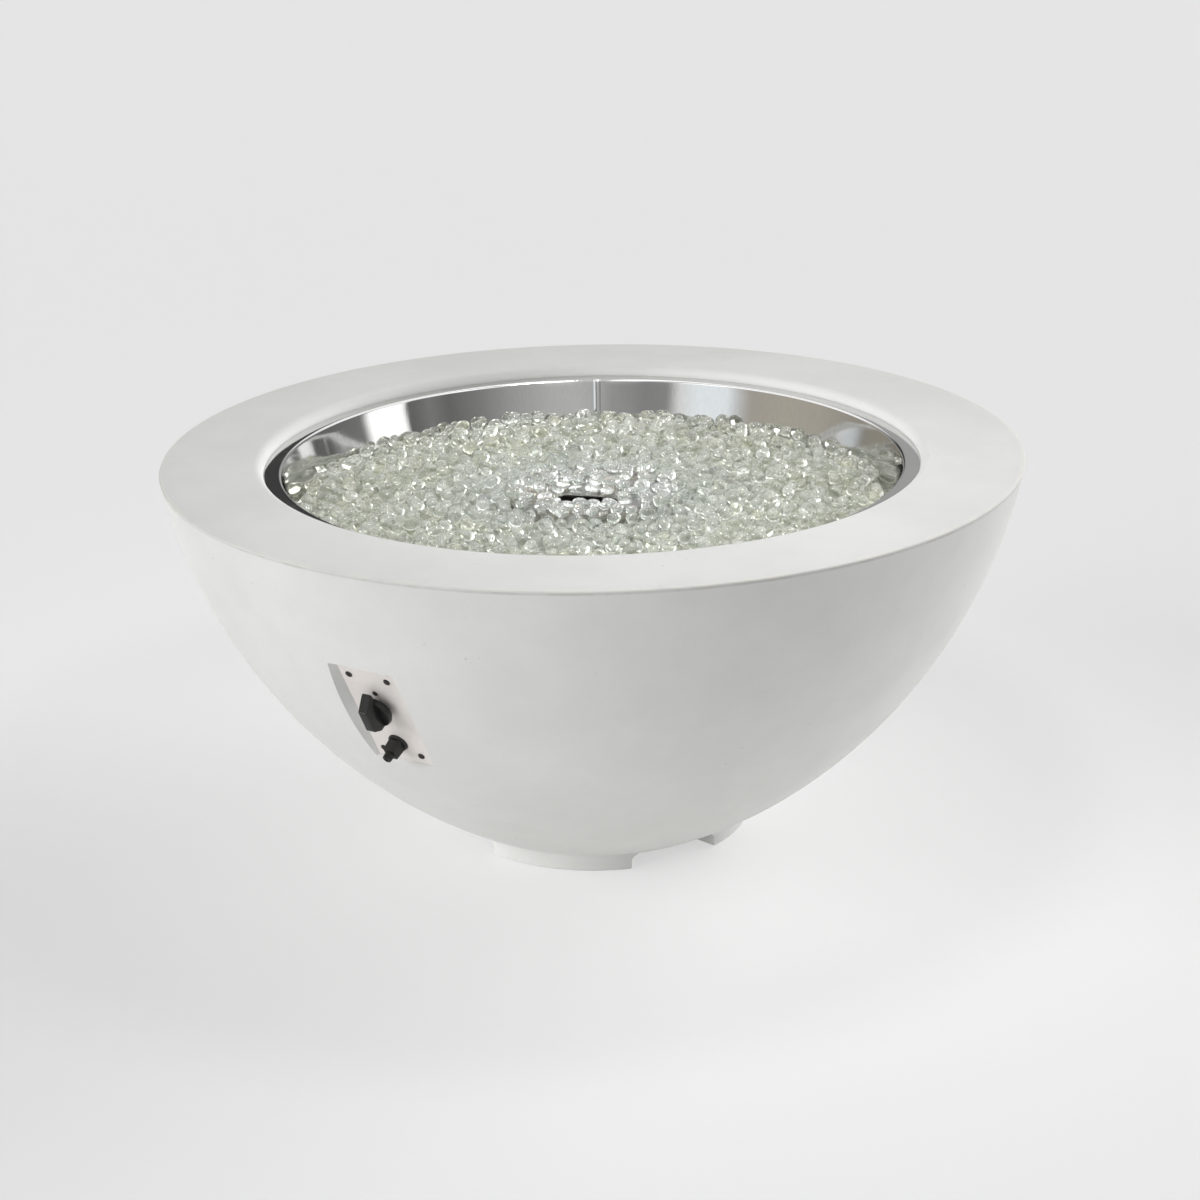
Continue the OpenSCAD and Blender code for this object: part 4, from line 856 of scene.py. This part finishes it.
class PIT_OT_glass(bpy.types.Operator):
    """Model one bead and scatter its copies in two layers over the bed"""

    bl_idname = "pit.glass"
    bl_label = "Fire glass"

    def bead(self, g):
        """One smooth flattened bead with a few dozen faces, as arrays."""
        deselect()
        bpy.ops.mesh.primitive_uv_sphere_add(segments=12, ring_count=6, radius=0.5)
        obj = named("bead")
        bpy.ops.object.mode_set(mode="EDIT")
        bpy.ops.transform.resize(value=(1.0, 0.90, g.bead_flatness))
        select(obj, "FACE", lambda face: face.calc_center_median().x > 0.2)
        bpy.ops.transform.resize(value=(1.0, 0.92, 0.94))
        bpy.ops.mesh.select_all(action="SELECT")
        bpy.ops.mesh.normals_make_consistent(inside=False)
        bpy.ops.object.mode_set(mode="OBJECT")
        points = np.array([v.co[:] for v in obj.data.vertices])
        faces = [tuple(f.vertices) for f in obj.data.polygons]
        bpy.data.meshes.remove(obj.data)
        return points, faces

    def in_slot(self, g, x, y, margin):
        """Whether a point lies over the ignition slot."""
        out = (math.sin(g.slot_turn) * g.slot_out, -math.cos(g.slot_turn) * g.slot_out)
        dx, dy = x - out[0], y - out[1]
        u = dx * math.cos(g.slot_turn) + dy * math.sin(g.slot_turn)
        v = -dx * math.sin(g.slot_turn) + dy * math.cos(g.slot_turn)
        reach = max(abs(u) - (g.slot_length - g.slot_width) / 2, 0.0)
        return math.hypot(reach, v) < g.slot_width / 2 + margin

    def scatter(self, rng, radius, spacing, keep):
        """Points no closer than their spacing, dropped one after another."""
        cell = spacing / math.sqrt(2)
        grid = {}
        points = []
        tries = int(12 * (radius / spacing) ** 2)
        for _ in range(tries):
            r = radius * math.sqrt(rng.random())
            t = rng.random() * math.tau
            x, y = r * math.cos(t), r * math.sin(t)
            if not keep(x, y):
                continue
            key = (int(math.floor(x / cell)), int(math.floor(y / cell)))
            near = [grid.get((key[0] + i, key[1] + j)) for i in range(-2, 3) for j in range(-2, 3)]
            if any(q and math.hypot(q[0] - x, q[1] - y) < spacing for q in near):
                continue
            grid[key] = (x, y)
            points.append((x, y))
        return points

    def pile(self, name, g, rng, bead, places):
        """One mesh of bead copies at their places."""
        shape, faces = bead
        verts, polys, tones = [], [], []
        # Weight of the painted shade along each bead's outline: 1 at its widest ring, 0 at its top and
        # bottom.
        edge = 1.0 - np.abs(shape[:, 2]) / np.abs(shape[:, 2]).max()
        for x, y, z, tilt, flat in places:
            width = g.bead_width * rng.uniform(0.82, 1.14)
            across, along = rng.uniform(0.92, 1.16), rng.uniform(0.88, 1.06)
            size = width * Vector((across, along, flat * rng.uniform(0.9, 1.12)))
            lean = Matrix.Rotation(rng.uniform(-tilt, tilt), 3, "X")
            lean = lean @ Matrix.Rotation(rng.uniform(-tilt, tilt), 3, "Y")
            turn = np.array(lean @ Matrix.Rotation(rng.random() * math.tau, 3, "Z") @ Matrix.Diagonal(size))
            start = len(verts) * len(shape)
            verts.append(shape @ turn.T + np.array((x, y, z)))
            polys.extend(tuple(start + i for i in f) for f in faces)
            tones.extend([rng.random()] * len(shape))
        mesh = bpy.data.meshes.new(name)
        mesh.from_pydata(np.concatenate(verts).tolist(), [], polys)
        for attribute, values in (("bead_tone", tones), ("bead_edge", np.tile(edge, len(places)))):
            mesh.attributes.new(attribute, "FLOAT", "POINT").data.foreach_set("value", values)
        obj = bpy.data.objects.new(name, mesh)
        bpy.context.scene.collection.objects.link(obj)
        finish_piece(obj, "fire_glass", "fire_pit", ("fire_glass",), 180)

    def filling(self, g, b):
        """The bed of glass under the beads, from the pan's floor up, with a hole for the burner."""
        floor = b.flange_top - b.depth
        low, step, turned = floor + g.fill_gap, floor + g.fill_rise, floor + b.floor_bend
        inner, outer = (g.fill_hole, g.bed_fill), (wall_radius(g.bed_fill) - g.fill_gap, g.bed_fill)
        points = [(g.fill_hole, step), (g.fill_step, step), (g.fill_step, low)]
        points += [(wall_radius(floor) - b.floor_bend, low), (wall_radius(turned) - g.fill_gap, turned)]
        fill = spin_outline("glass_bed", points + line(inner, outer, 30)[::-1] + [inner], 160)
        bpy.ops.object.mode_set(mode="OBJECT")
        finish_piece(fill, "fire_glass", "fire_pit", ("fire_glass",), 40, "bed")

    def execute(self, context):
        g = context.scene.pit_glass
        rng = random.Random(g.seed)
        bead = self.bead(g)
        half = g.bead_width * 0.5
        slot_gap, near_slot = half * 0.72, 0.030
        hub_edge, hub_reach = g.clear_radius + half * 0.9, g.clear_radius + half * 0.8
        self.filling(g, context.scene.pit_burner)

        def outside(x, y):
            return math.hypot(x, y) > hub_edge

        def off_slot(x, y):
            return not self.in_slot(g, x, y, slot_gap)

        lower_reach, lower_step = wall_radius(g.lower_top) - half * 1.1, g.bead_width * 0.84
        lower = [
            (x, y, g.lower_top + rng.uniform(-0.002, 0.002), 0.5, 1.0)
            for x, y in self.scatter(rng, lower_reach, lower_step, outside)
        ]
        upper_reach, upper_step = wall_radius(g.bed_top) - half, g.bead_width * 0.88
        upper = []
        for x, y in self.scatter(rng, upper_reach, upper_step, off_slot):
            z, tilt, flat = g.bed_top + rng.uniform(-0.0035, 0.0030), 0.7, 1.0
            if math.hypot(x, y) < hub_reach:
                thinner = self.in_slot(g, x, y, near_slot)
                tilt, flat = 0.22, rng.uniform(0.5, 0.7) if thinner else rng.uniform(0.75, 1.0)
                z = g.plate_top + half * g.bead_flatness * flat * 1.12
            upper.append((x, y, z, tilt, flat))
        self.pile("lower_beads", g, rng, bead, lower)
        self.pile("upper_beads", g, rng, bead, upper)
        return {"FINISHED"}


class PIT_OT_knob(bpy.types.Operator):
    """Mould the knob: a dished skirt on a hub, with a grip bar whose nose runs past the skirt"""

    bl_idname = "pit.knob"
    bl_label = "Knob"

    def bar(self, p):
        """The grip bar: its side view drawn as an outline and drawn out to the bar's width."""
        edge, sink, end = 0.001, 0.003, 0.004
        low = p.skirt_top - sink
        back = p.grip_shift - p.grip_length / 2
        heel = (edge - p.knob_radius, p.knob_face - p.grip_shoulder)
        points = [(heel[0], low), (-heel[0], low - edge), (p.nose_reach, p.skirt_top - p.nose_sheet)]
        points += [(p.nose_reach, p.skirt_top), (back + p.grip_length, p.knob_face)]
        points += [(back, p.knob_face), heel]
        obj = draw_outline("bar", points)
        bpy.ops.mesh.select_all(action="SELECT")
        bpy.ops.transform.translate(value=(0, -p.grip_width / 2, 0))
        bpy.ops.mesh.edge_face_add()
        bpy.ops.mesh.extrude_region_move(TRANSFORM_OT_translate={"value": (0, p.grip_width, 0)})
        bpy.ops.mesh.select_all(action="SELECT")
        bpy.ops.mesh.normals_make_consistent(inside=False)
        for side, wide in ((1, 0.92), (-1, 1.07)):
            select(obj, "VERT", lambda v: side * v.co.x > -heel[0] - end)
            bpy.ops.transform.resize(value=(1, wide, 1), center_override=(0, 0, 0))
        select(obj, "EDGE", lambda e: max(v.co.z for v in e.verts) > p.skirt_top - edge)
        bevel(p.grip_round, 3)
        return place(obj, Matrix.Rotation(math.radians(90), 4, "Z"))

    def execute(self, context):
        p = context.scene.pit_panel
        r, foot, top, low = p.knob_radius, p.knob_foot, p.skirt_top, p.skirt_low
        hub, ring, ring_low, ring_top = p.hub_radius, p.ring_radius, p.ring_low, p.ring_top
        neck = hub + 0.002
        hub_cut, ring_cut, ring_ease = 0.0006, 0.0008, 0.0004
        draft, drop, roll, hollow = 0.0003, 0.0001, 0.0014, 0.0020
        skirt_ease = ((0.0012, 0.0), (0.0004, 0.0003), (0.0, 0.0010))
        dish = ((0.0024, 0.0003), (0.0036, 0.0014))
        crown = (r - draft - roll, top - roll - drop)
        points = [(0.0, foot), (hub - hub_cut, foot), (hub, foot + hub_cut), (hub, ring_low)]
        points += [(ring - ring_cut, ring_low), (ring, ring_low + ring_cut), (ring, ring_top - ring_ease)]
        points += [(ring - ring_ease, ring_top), (neck, ring_top), (neck, low)]
        points += [(r - inward, low + up) for inward, up in skirt_ease]
        points += line(points[-1], (r - draft, crown[1] - drop), 3)
        points += arc(crown, roll, 0, 90, 5)
        points += [(r - inward, top - down) for inward, down in dish]
        points += line(points[-1], (0.0, top - hollow), 5)
        knob = spin_outline("knob_moulding", points, 96)
        bpy.ops.object.mode_set(mode="OBJECT")
        combine(knob, self.bar(p), "UNION")
        place(knob, panel_frame() @ Matrix.Translation((0, p.knob_up, 0)))
        finish_piece(knob, "black_plastic", "control_knob", ("knob",), 28)
        return {"FINISHED"}


class PIT_OT_igniter(bpy.types.Operator):
    """Mould the igniter's square neck and its push button"""

    bl_idname = "pit.igniter"
    bl_label = "Igniter"

    def neck(self, p):
        """The tapered neck, bored for the button, with its collar."""
        half, foot, taper = p.neck_width / 2, p.neck_foot, 0.9
        neck = block("igniter_neck", (-half, -half, foot), (half, half, p.neck_end))
        select(neck, "FACE", faces_up)
        bpy.ops.transform.resize(value=(taper, taper, 1))
        select(neck, "EDGE", lambda edge: max(v.co.z for v in edge.verts) > foot + OVERLAP)
        bevel(p.neck_round, 3)
        deselect()
        bore, depth, middle = p.button_radius + p.button_gap, 0.05, (0, 0, 0.010)
        bpy.ops.mesh.primitive_cylinder_add(vertices=64, radius=bore, depth=depth, location=middle)
        combine(neck, named("button_bore"), "DIFFERENCE")
        outer, bite = p.collar_radius, 0.0004
        inner, low, high = outer - p.collar_wall, -p.collar_depth, foot + bite
        collar = spin_outline("collar", [(inner, low), (outer, low), (outer, high), (inner, high)], 64)
        bpy.ops.object.mode_set(mode="OBJECT")
        return join("igniter_neck", [neck, collar])

    def button(self, p):
        """The push button: a stop at its back, a dished end and a notch across it."""
        r, end, back, edge = p.button_radius, p.button_end, p.button_back, p.button_round
        stop, front = r + OVERLAP, back + p.button_stop
        dish = ((0.0022, 0.0002), (0.0026, 0.0007), (r, 0.0010))
        points = [(0.0, back), (stop, back), (stop, front), (r, front)]
        points += line(points[-1], (r, end - edge), 3)
        points += arc((r - edge, end - edge), edge, 0, 90, 5)[1:]
        points += [(r - inward, end - down) for inward, down in dish]
        button = spin_outline("igniter_push_button", points, 64)
        bpy.ops.object.mode_set(mode="OBJECT")
        half = p.notch_width / 2
        notch = block("notch", (-half, -stop, end - p.notch_depth), (half, stop, end + OVERLAP))
        combine(button, notch, "DIFFERENCE")
        return button

    def execute(self, context):
        p = context.scene.pit_panel
        where = panel_frame() @ Matrix.Translation((0, -p.igniter_down, 0))
        neck = place(self.neck(p), where)
        finish_piece(neck, "black_plastic", "fire_pit", ("igniter_cap",), 28)
        button = place(self.button(p), where)
        finish_piece(button, "black_plastic", "igniter_push", ("igniter_button",), 28)
        return {"FINISHED"}


# Head radius, head height, shank radius and shank length
PANEL_SCREW = (0.0042, 0.0020, 0.0022, 0.011)
VALVE_SCREW = (0.0034, 0.0018, 0.0019, 0.006)


class PIT_OT_screws(bpy.types.Operator):
    """Turn one screw with a domed cross-recess head and copy it to the panel's holes"""

    bl_idname = "pit.screws"
    bl_label = "Screws"

    def screw(self, name, head_r, head_h, shank_r, shank_l):
        """One screw along Z, its head's seat at the origin."""
        chamfer, flank, half_slot = 0.001, head_h * 0.35, 0.0005
        dome = head_h - flank
        points = [(0.0, -shank_l), (shank_r * 0.6, -shank_l), (shank_r, chamfer - shank_l)]
        points += [(shank_r, 0.0), (head_r, 0.0), (head_r, flank)]
        points += [(head_r * math.cos(t), flank + dome * math.sin(t)) for t in (0.35, 0.7, 1.05, 1.35)]
        points += [(0.0, head_h)]
        obj = spin_outline(name, points, 40)
        bpy.ops.object.mode_set(mode="OBJECT")
        reach = head_r * 0.55
        for turn in (0.4, 0.4 + math.pi / 2):
            bit = block("bit", (-half_slot, -reach, flank), (half_slot, reach, head_h * 2))
            place(bit, Matrix.Rotation(turn, 4, "Z"))
            combine(obj, bit, "DIFFERENCE")
        return obj

    def spread(self, name, first, places, slot, node):
        """Copies of a screw, each with its own mesh, as one set."""
        pieces = []
        for x, y, turn in places:
            copy = first.copy()
            copy.data = first.data.copy()
            bpy.context.scene.collection.objects.link(copy)
            place(copy, panel_frame() @ Matrix.Translation((x, y, 0)) @ Matrix.Rotation(turn, 4, "Z"))
            pieces.append(copy)
        bpy.data.meshes.remove(first.data)
        finish_piece(join(name, pieces), slot, "fire_pit", (node,), 30)

    def execute(self, context):
        p = context.scene.pit_panel
        corners = [(x * p.screw_x, y * p.screw_y, 1.3 * x + 0.7 * y) for x in (-1, 1) for y in (-1, 1)]
        big = self.screw("panel_screw", *PANEL_SCREW)
        self.spread("panel_screw_set", big, corners, "black_steel", "panel_screws")
        ends = [(0.0, p.knob_up + y * p.valve_screw, 0.5 * y) for y in (-1, 1)]
        small = self.screw("valve_screw", *VALVE_SCREW)
        self.spread("valve_screw_set", small, ends, "black_steel", "valve_screws")
        return {"FINISHED"}


class PIT_OT_springs(bpy.types.Operator):
    """Coil the two return springs of the valve and the igniter"""

    bl_idname = "pit.springs"
    bl_label = "Springs"

    def coil(self, p, node, joint, up, turns):
        """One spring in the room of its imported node, from a ring of wire screwed round its axis."""
        where = panel_frame() @ Matrix.Translation((0, up, 0))
        room = frame["nodes"][node]
        points = [where.inverted() @ room.matrix_world @ v.co for v in room.data.vertices]
        low = min(q.z for q in points)
        high = max(q.z for q in points)
        reach = max(math.hypot(q.x, q.y) for q in points)
        wire, steps = p.spring_wire, 24
        start = (reach - wire, 0, low + wire)
        deselect()
        bpy.ops.mesh.primitive_circle_add(
            vertices=10, radius=wire, location=start, rotation=(math.radians(90), 0, 0)
        )
        obj = named(node + "_coil")
        bpy.ops.object.transform_apply(location=True, rotation=True, scale=True)
        step = obj.modifiers.new("Coil", "SCREW")
        step.iterations = turns
        step.screw_offset = (high - low - 2 * wire) / turns
        step.steps = steps
        step.render_steps = steps
        bpy.ops.object.modifier_apply(modifier=step.name)
        bpy.ops.object.mode_set(mode="EDIT")
        bpy.ops.mesh.select_all(action="DESELECT")
        bpy.ops.mesh.select_mode(type="VERT")
        bpy.ops.mesh.select_non_manifold()
        bpy.ops.mesh.fill_holes(sides=0)
        bpy.ops.mesh.select_all(action="SELECT")
        bpy.ops.mesh.normals_make_consistent(inside=False)
        bpy.ops.object.mode_set(mode="OBJECT")
        place(obj, where)
        finish_piece(obj, "spring_steel", "fire_pit", (node,), 40)
        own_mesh(obj)

    def execute(self, context):
        p = context.scene.pit_panel
        self.coil(p, "valve_spring", "knob_push", p.knob_up, p.spring_turns + 1)
        self.coil(p, "igniter_spring", "igniter_press", -p.igniter_down, p.spring_turns)
        return {"FINISHED"}


# Tones that metal and glass show round the studio, by degrees from the camera towards its right
STUDIO_WALLS = (
    (-180, 0.40),
    (-176, 0.06),
    (-158, 0.06),
    (-146, 0.36),
    (-135, (0.43, 0.40, 0.34)),
    (-122, (0.40, 0.37, 0.32)),
    (-100, (0.52, 0.485, 0.42)),
    (-82, (0.55, 0.515, 0.44)),
    (-66, (0.51, 0.475, 0.42)),
    (-61, 0.70),
    (-55, (1.08, 1.14, 1.18)),
    (-44, (1.10, 1.17, 1.21)),
    (-36, 0.97),
    (-31, 0.34),
    (-22, 0.32),
    (-8, 0.42),
    (-3, 0.56),
    (6, 0.63),
    (16, 0.60),
    (30, 0.47),
    (45, 0.28),
    (58, 0.19),
    (66, 0.27),
    (76, 0.15),
    (78, 1.60),
    (84, 1.70),
    (95, 1.70),
    (99, 0.24),
    (124, 0.17),
    (168, 0.46),
    (180, 0.42),
)
# The ceiling's strips, and where the ceiling and the light from above begin, by a ray's direction
STRIP_SPACING, STRIP_EDGE = 0.21, (0.09, 0.13)
CEILING_RISE, LIGHT_RISE = (0.30, 0.55), (0.35, 0.60)
FLOOR_RADIUS, FLOOR_DROP = 40.0, 0.0005
# Lamp places about the point that they aim at, turned with the camera
AIM_HEIGHT = 0.35
TOP_LAMP, TOP_SIZE = (0.25, -0.25, 1.10), 0.30
SIDE_LAMPS = {"left": (-2.5, -1.2, 0.75), "right": (2.6, 1.5, 1.0), "fill": (2.2, -0.6, 1.6)}
SIDE_SPREAD = math.radians(50)


class PIT_OT_stage(bpy.types.Operator):
    """Set the camera, floor and studio light"""

    bl_idname = "pit.stage"
    bl_label = "Stage"

    def lamp(self, name, kind, where, aim, energy, **settings):
        """A lamp at a place, aimed at a point."""
        data = bpy.data.lights.new(name, kind)
        data.energy = energy
        for key, value in settings.items():
            setattr(data, key, value)
        obj = bpy.data.objects.new(name, data)
        bpy.context.scene.collection.objects.link(obj)
        obj.location = where
        obj.rotation_euler = (Vector(aim) - Vector(where)).to_track_quat("-Z", "Y").to_euler()
        return obj

    def execute(self, context):
        s = context.scene.pit_stage
        data = bpy.data.cameras.new("camera")
        data.lens = s.lens
        data.sensor_width = 36.0
        data.sensor_fit = "HORIZONTAL"
        camera = bpy.data.objects.new("camera", data)
        context.scene.collection.objects.link(camera)
        across, along = math.sin(s.azimuth) * s.distance, -math.cos(s.azimuth) * s.distance
        camera.matrix_world = (
            Matrix.Translation((across, along, s.camera_height))
            @ Matrix.Rotation(s.azimuth + s.aim, 4, "Z")
            @ Matrix.Rotation(math.radians(90) + s.pitch, 4, "X")
            @ Matrix.Rotation(s.roll, 4, "Z")
        )
        context.scene.camera = camera
        context.scene.view_settings.view_transform = "Standard"

        deselect()
        bpy.ops.mesh.primitive_circle_add(
            vertices=64, radius=FLOOR_RADIUS, fill_type="NGON", location=(0, 0, -FLOOR_DROP)
        )
        floor = named("floor")
        f = Finish("Studio floor", Roughness=0.9, Specular_IOR_Level=0.1, Emission_Color=(1.0, 1.0, 1.0))
        camera_ray = f.add("ShaderNodeLightPath").outputs["Is Camera Ray"]
        seen = f.maths("MAXIMUM", camera_ray, self.clear_rays(f))
        f.link(f.mix(seen, s.bounce, s.floor), "Base Color")
        f.link(f.span(seen, 0.0, 1.0, s.glow, s.lit, False), "Emission Strength")
        floor.data.materials.append(f.material)

        self.surroundings(context, s)
        turn = Matrix.Rotation(s.azimuth, 4, "Z")
        aim = Vector((0, 0, AIM_HEIGHT))
        for name, where in SIDE_LAMPS.items():
            start = aim + turn @ Vector(where)
            lamp = self.lamp(name, "SUN", start, aim, getattr(s, name), angle=SIDE_SPREAD)
            lamp.visible_glossy = False
        self.lamp("top", "AREA", aim + turn @ Vector(TOP_LAMP), aim, s.top, size=TOP_SIZE)
        return {"FINISHED"}

    def clear_rays(self, nodes):
        """Whether a ray comes by way of metal or glass."""
        path = nodes.add("ShaderNodeLightPath").outputs
        return nodes.maths("MAXIMUM", path["Is Glossy Ray"], path["Is Transmission Ray"])

    def surroundings(self, context, s):
        """An even light all round, and the studio's walls and softboxes as metal and glass show them."""
        world = bpy.data.worlds.new("studio")
        context.scene.world = world
        world.use_nodes = True
        world.node_tree.nodes.clear()
        w = Nodes(world.node_tree, "Generated")
        view = w.add("ShaderNodeMapping", Vector=w.coords, Rotation=(0, 0, -s.azimuth)).outputs["Vector"]
        axes = w.add("ShaderNodeSeparateXYZ", view).outputs
        about = w.maths("ARCTAN2", axes["X"], w.maths("MULTIPLY", axes["Y"], -1.0))
        walls = w.add("ShaderNodeValToRGB", w.maths("MULTIPLY_ADD", about, 1 / math.tau, 0.5))
        stops = walls.color_ramp.elements
        for i, (degrees, tone) in enumerate(STUDIO_WALLS):
            position = 0.5 + degrees / 360
            stop = stops[i] if i < 2 else stops.new(position)
            stop.position = position
            tone = tone if isinstance(tone, tuple) else (tone, tone, tone)
            stop.color = (*(c / s.peak for c in tone), 1.0)
        strips = w.maths("PINGPONG", axes["X"], STRIP_SPACING)
        strips = w.span(strips, *STRIP_EDGE, s.ceiling_low / s.peak, s.ceiling / s.peak, False)
        studio = w.mix(w.span(axes["Z"], *CEILING_RISE), walls.outputs["Color"], strips)
        soft = w.span(axes["Z"], *LIGHT_RISE, s.walls, s.overhead)

        def light(tone, strength):
            return w.add("ShaderNodeBackground", tone, strength).outputs["Background"]

        even, shown, plain = light((1.0, 1.0, 1.0), soft), light(studio, s.peak), light(s.backdrop, 1.0)
        mixed = w.add("ShaderNodeMixShader", self.clear_rays(w), even, shown).outputs["Shader"]
        camera_ray = w.add("ShaderNodeLightPath").outputs["Is Camera Ray"]
        mixed = w.add("ShaderNodeMixShader", camera_ray, mixed, plain).outputs["Shader"]
        w.add("ShaderNodeOutputWorld", mixed)


class PIT_PT_panel(bpy.types.Panel):
    """The pieces of the fire pit"""

    bl_idname = "PIT_PT_panel"
    bl_label = "Gas Fire Pit"
    bl_space_type = "VIEW_3D"
    bl_region_type = "UI"
    bl_category = "Fire Pit"

    def draw(self, context):
        for operator in OPERATORS:
            self.layout.operator(operator.bl_idname)
        for name in SETTINGS:
            group = getattr(context.scene, name)
            box = self.layout.box()
            for key in group.bl_rna.properties.keys():
                if key not in ("rna_type", "name"):
                    box.prop(group, key)


OPERATORS = (
    PIT_OT_stage,
    PIT_OT_materials,
    PIT_OT_bowl,
    PIT_OT_pan,
    PIT_OT_glass,
    PIT_OT_knob,
    PIT_OT_igniter,
    PIT_OT_screws,
    PIT_OT_springs,
)
SETTINGS = {
    "pit_bowl": BowlSettings,
    "pit_burner": BurnerSettings,
    "pit_glass": GlassSettings,
    "pit_panel": PanelSettings,
    "pit_stage": StageSettings,
}


def register():
    """Register the settings, operators and panel."""
    for name, group in SETTINGS.items():
        bpy.utils.register_class(group)
        setattr(bpy.types.Scene, name, bpy.props.PointerProperty(type=group))
    for operator in OPERATORS:
        bpy.utils.register_class(operator)
    bpy.utils.register_class(PIT_PT_panel)


def unregister():
    """Take the settings, operators and panel away again."""
    bpy.utils.unregister_class(PIT_PT_panel)
    for operator in reversed(OPERATORS):
        bpy.utils.unregister_class(operator)
    for name, group in SETTINGS.items():
        delattr(bpy.types.Scene, name)
        bpy.utils.unregister_class(group)


def main():
    """Build the whole scene, piece by piece."""
    register()
    bpy.ops.pit.stage()
    bpy.ops.pit.materials()
    bpy.ops.pit.bowl()
    bpy.ops.pit.pan()
    bpy.ops.pit.glass()
    bpy.ops.pit.knob()
    bpy.ops.pit.igniter()
    bpy.ops.pit.screws()
    bpy.ops.pit.springs()


if __name__ == "__main__":
    main()
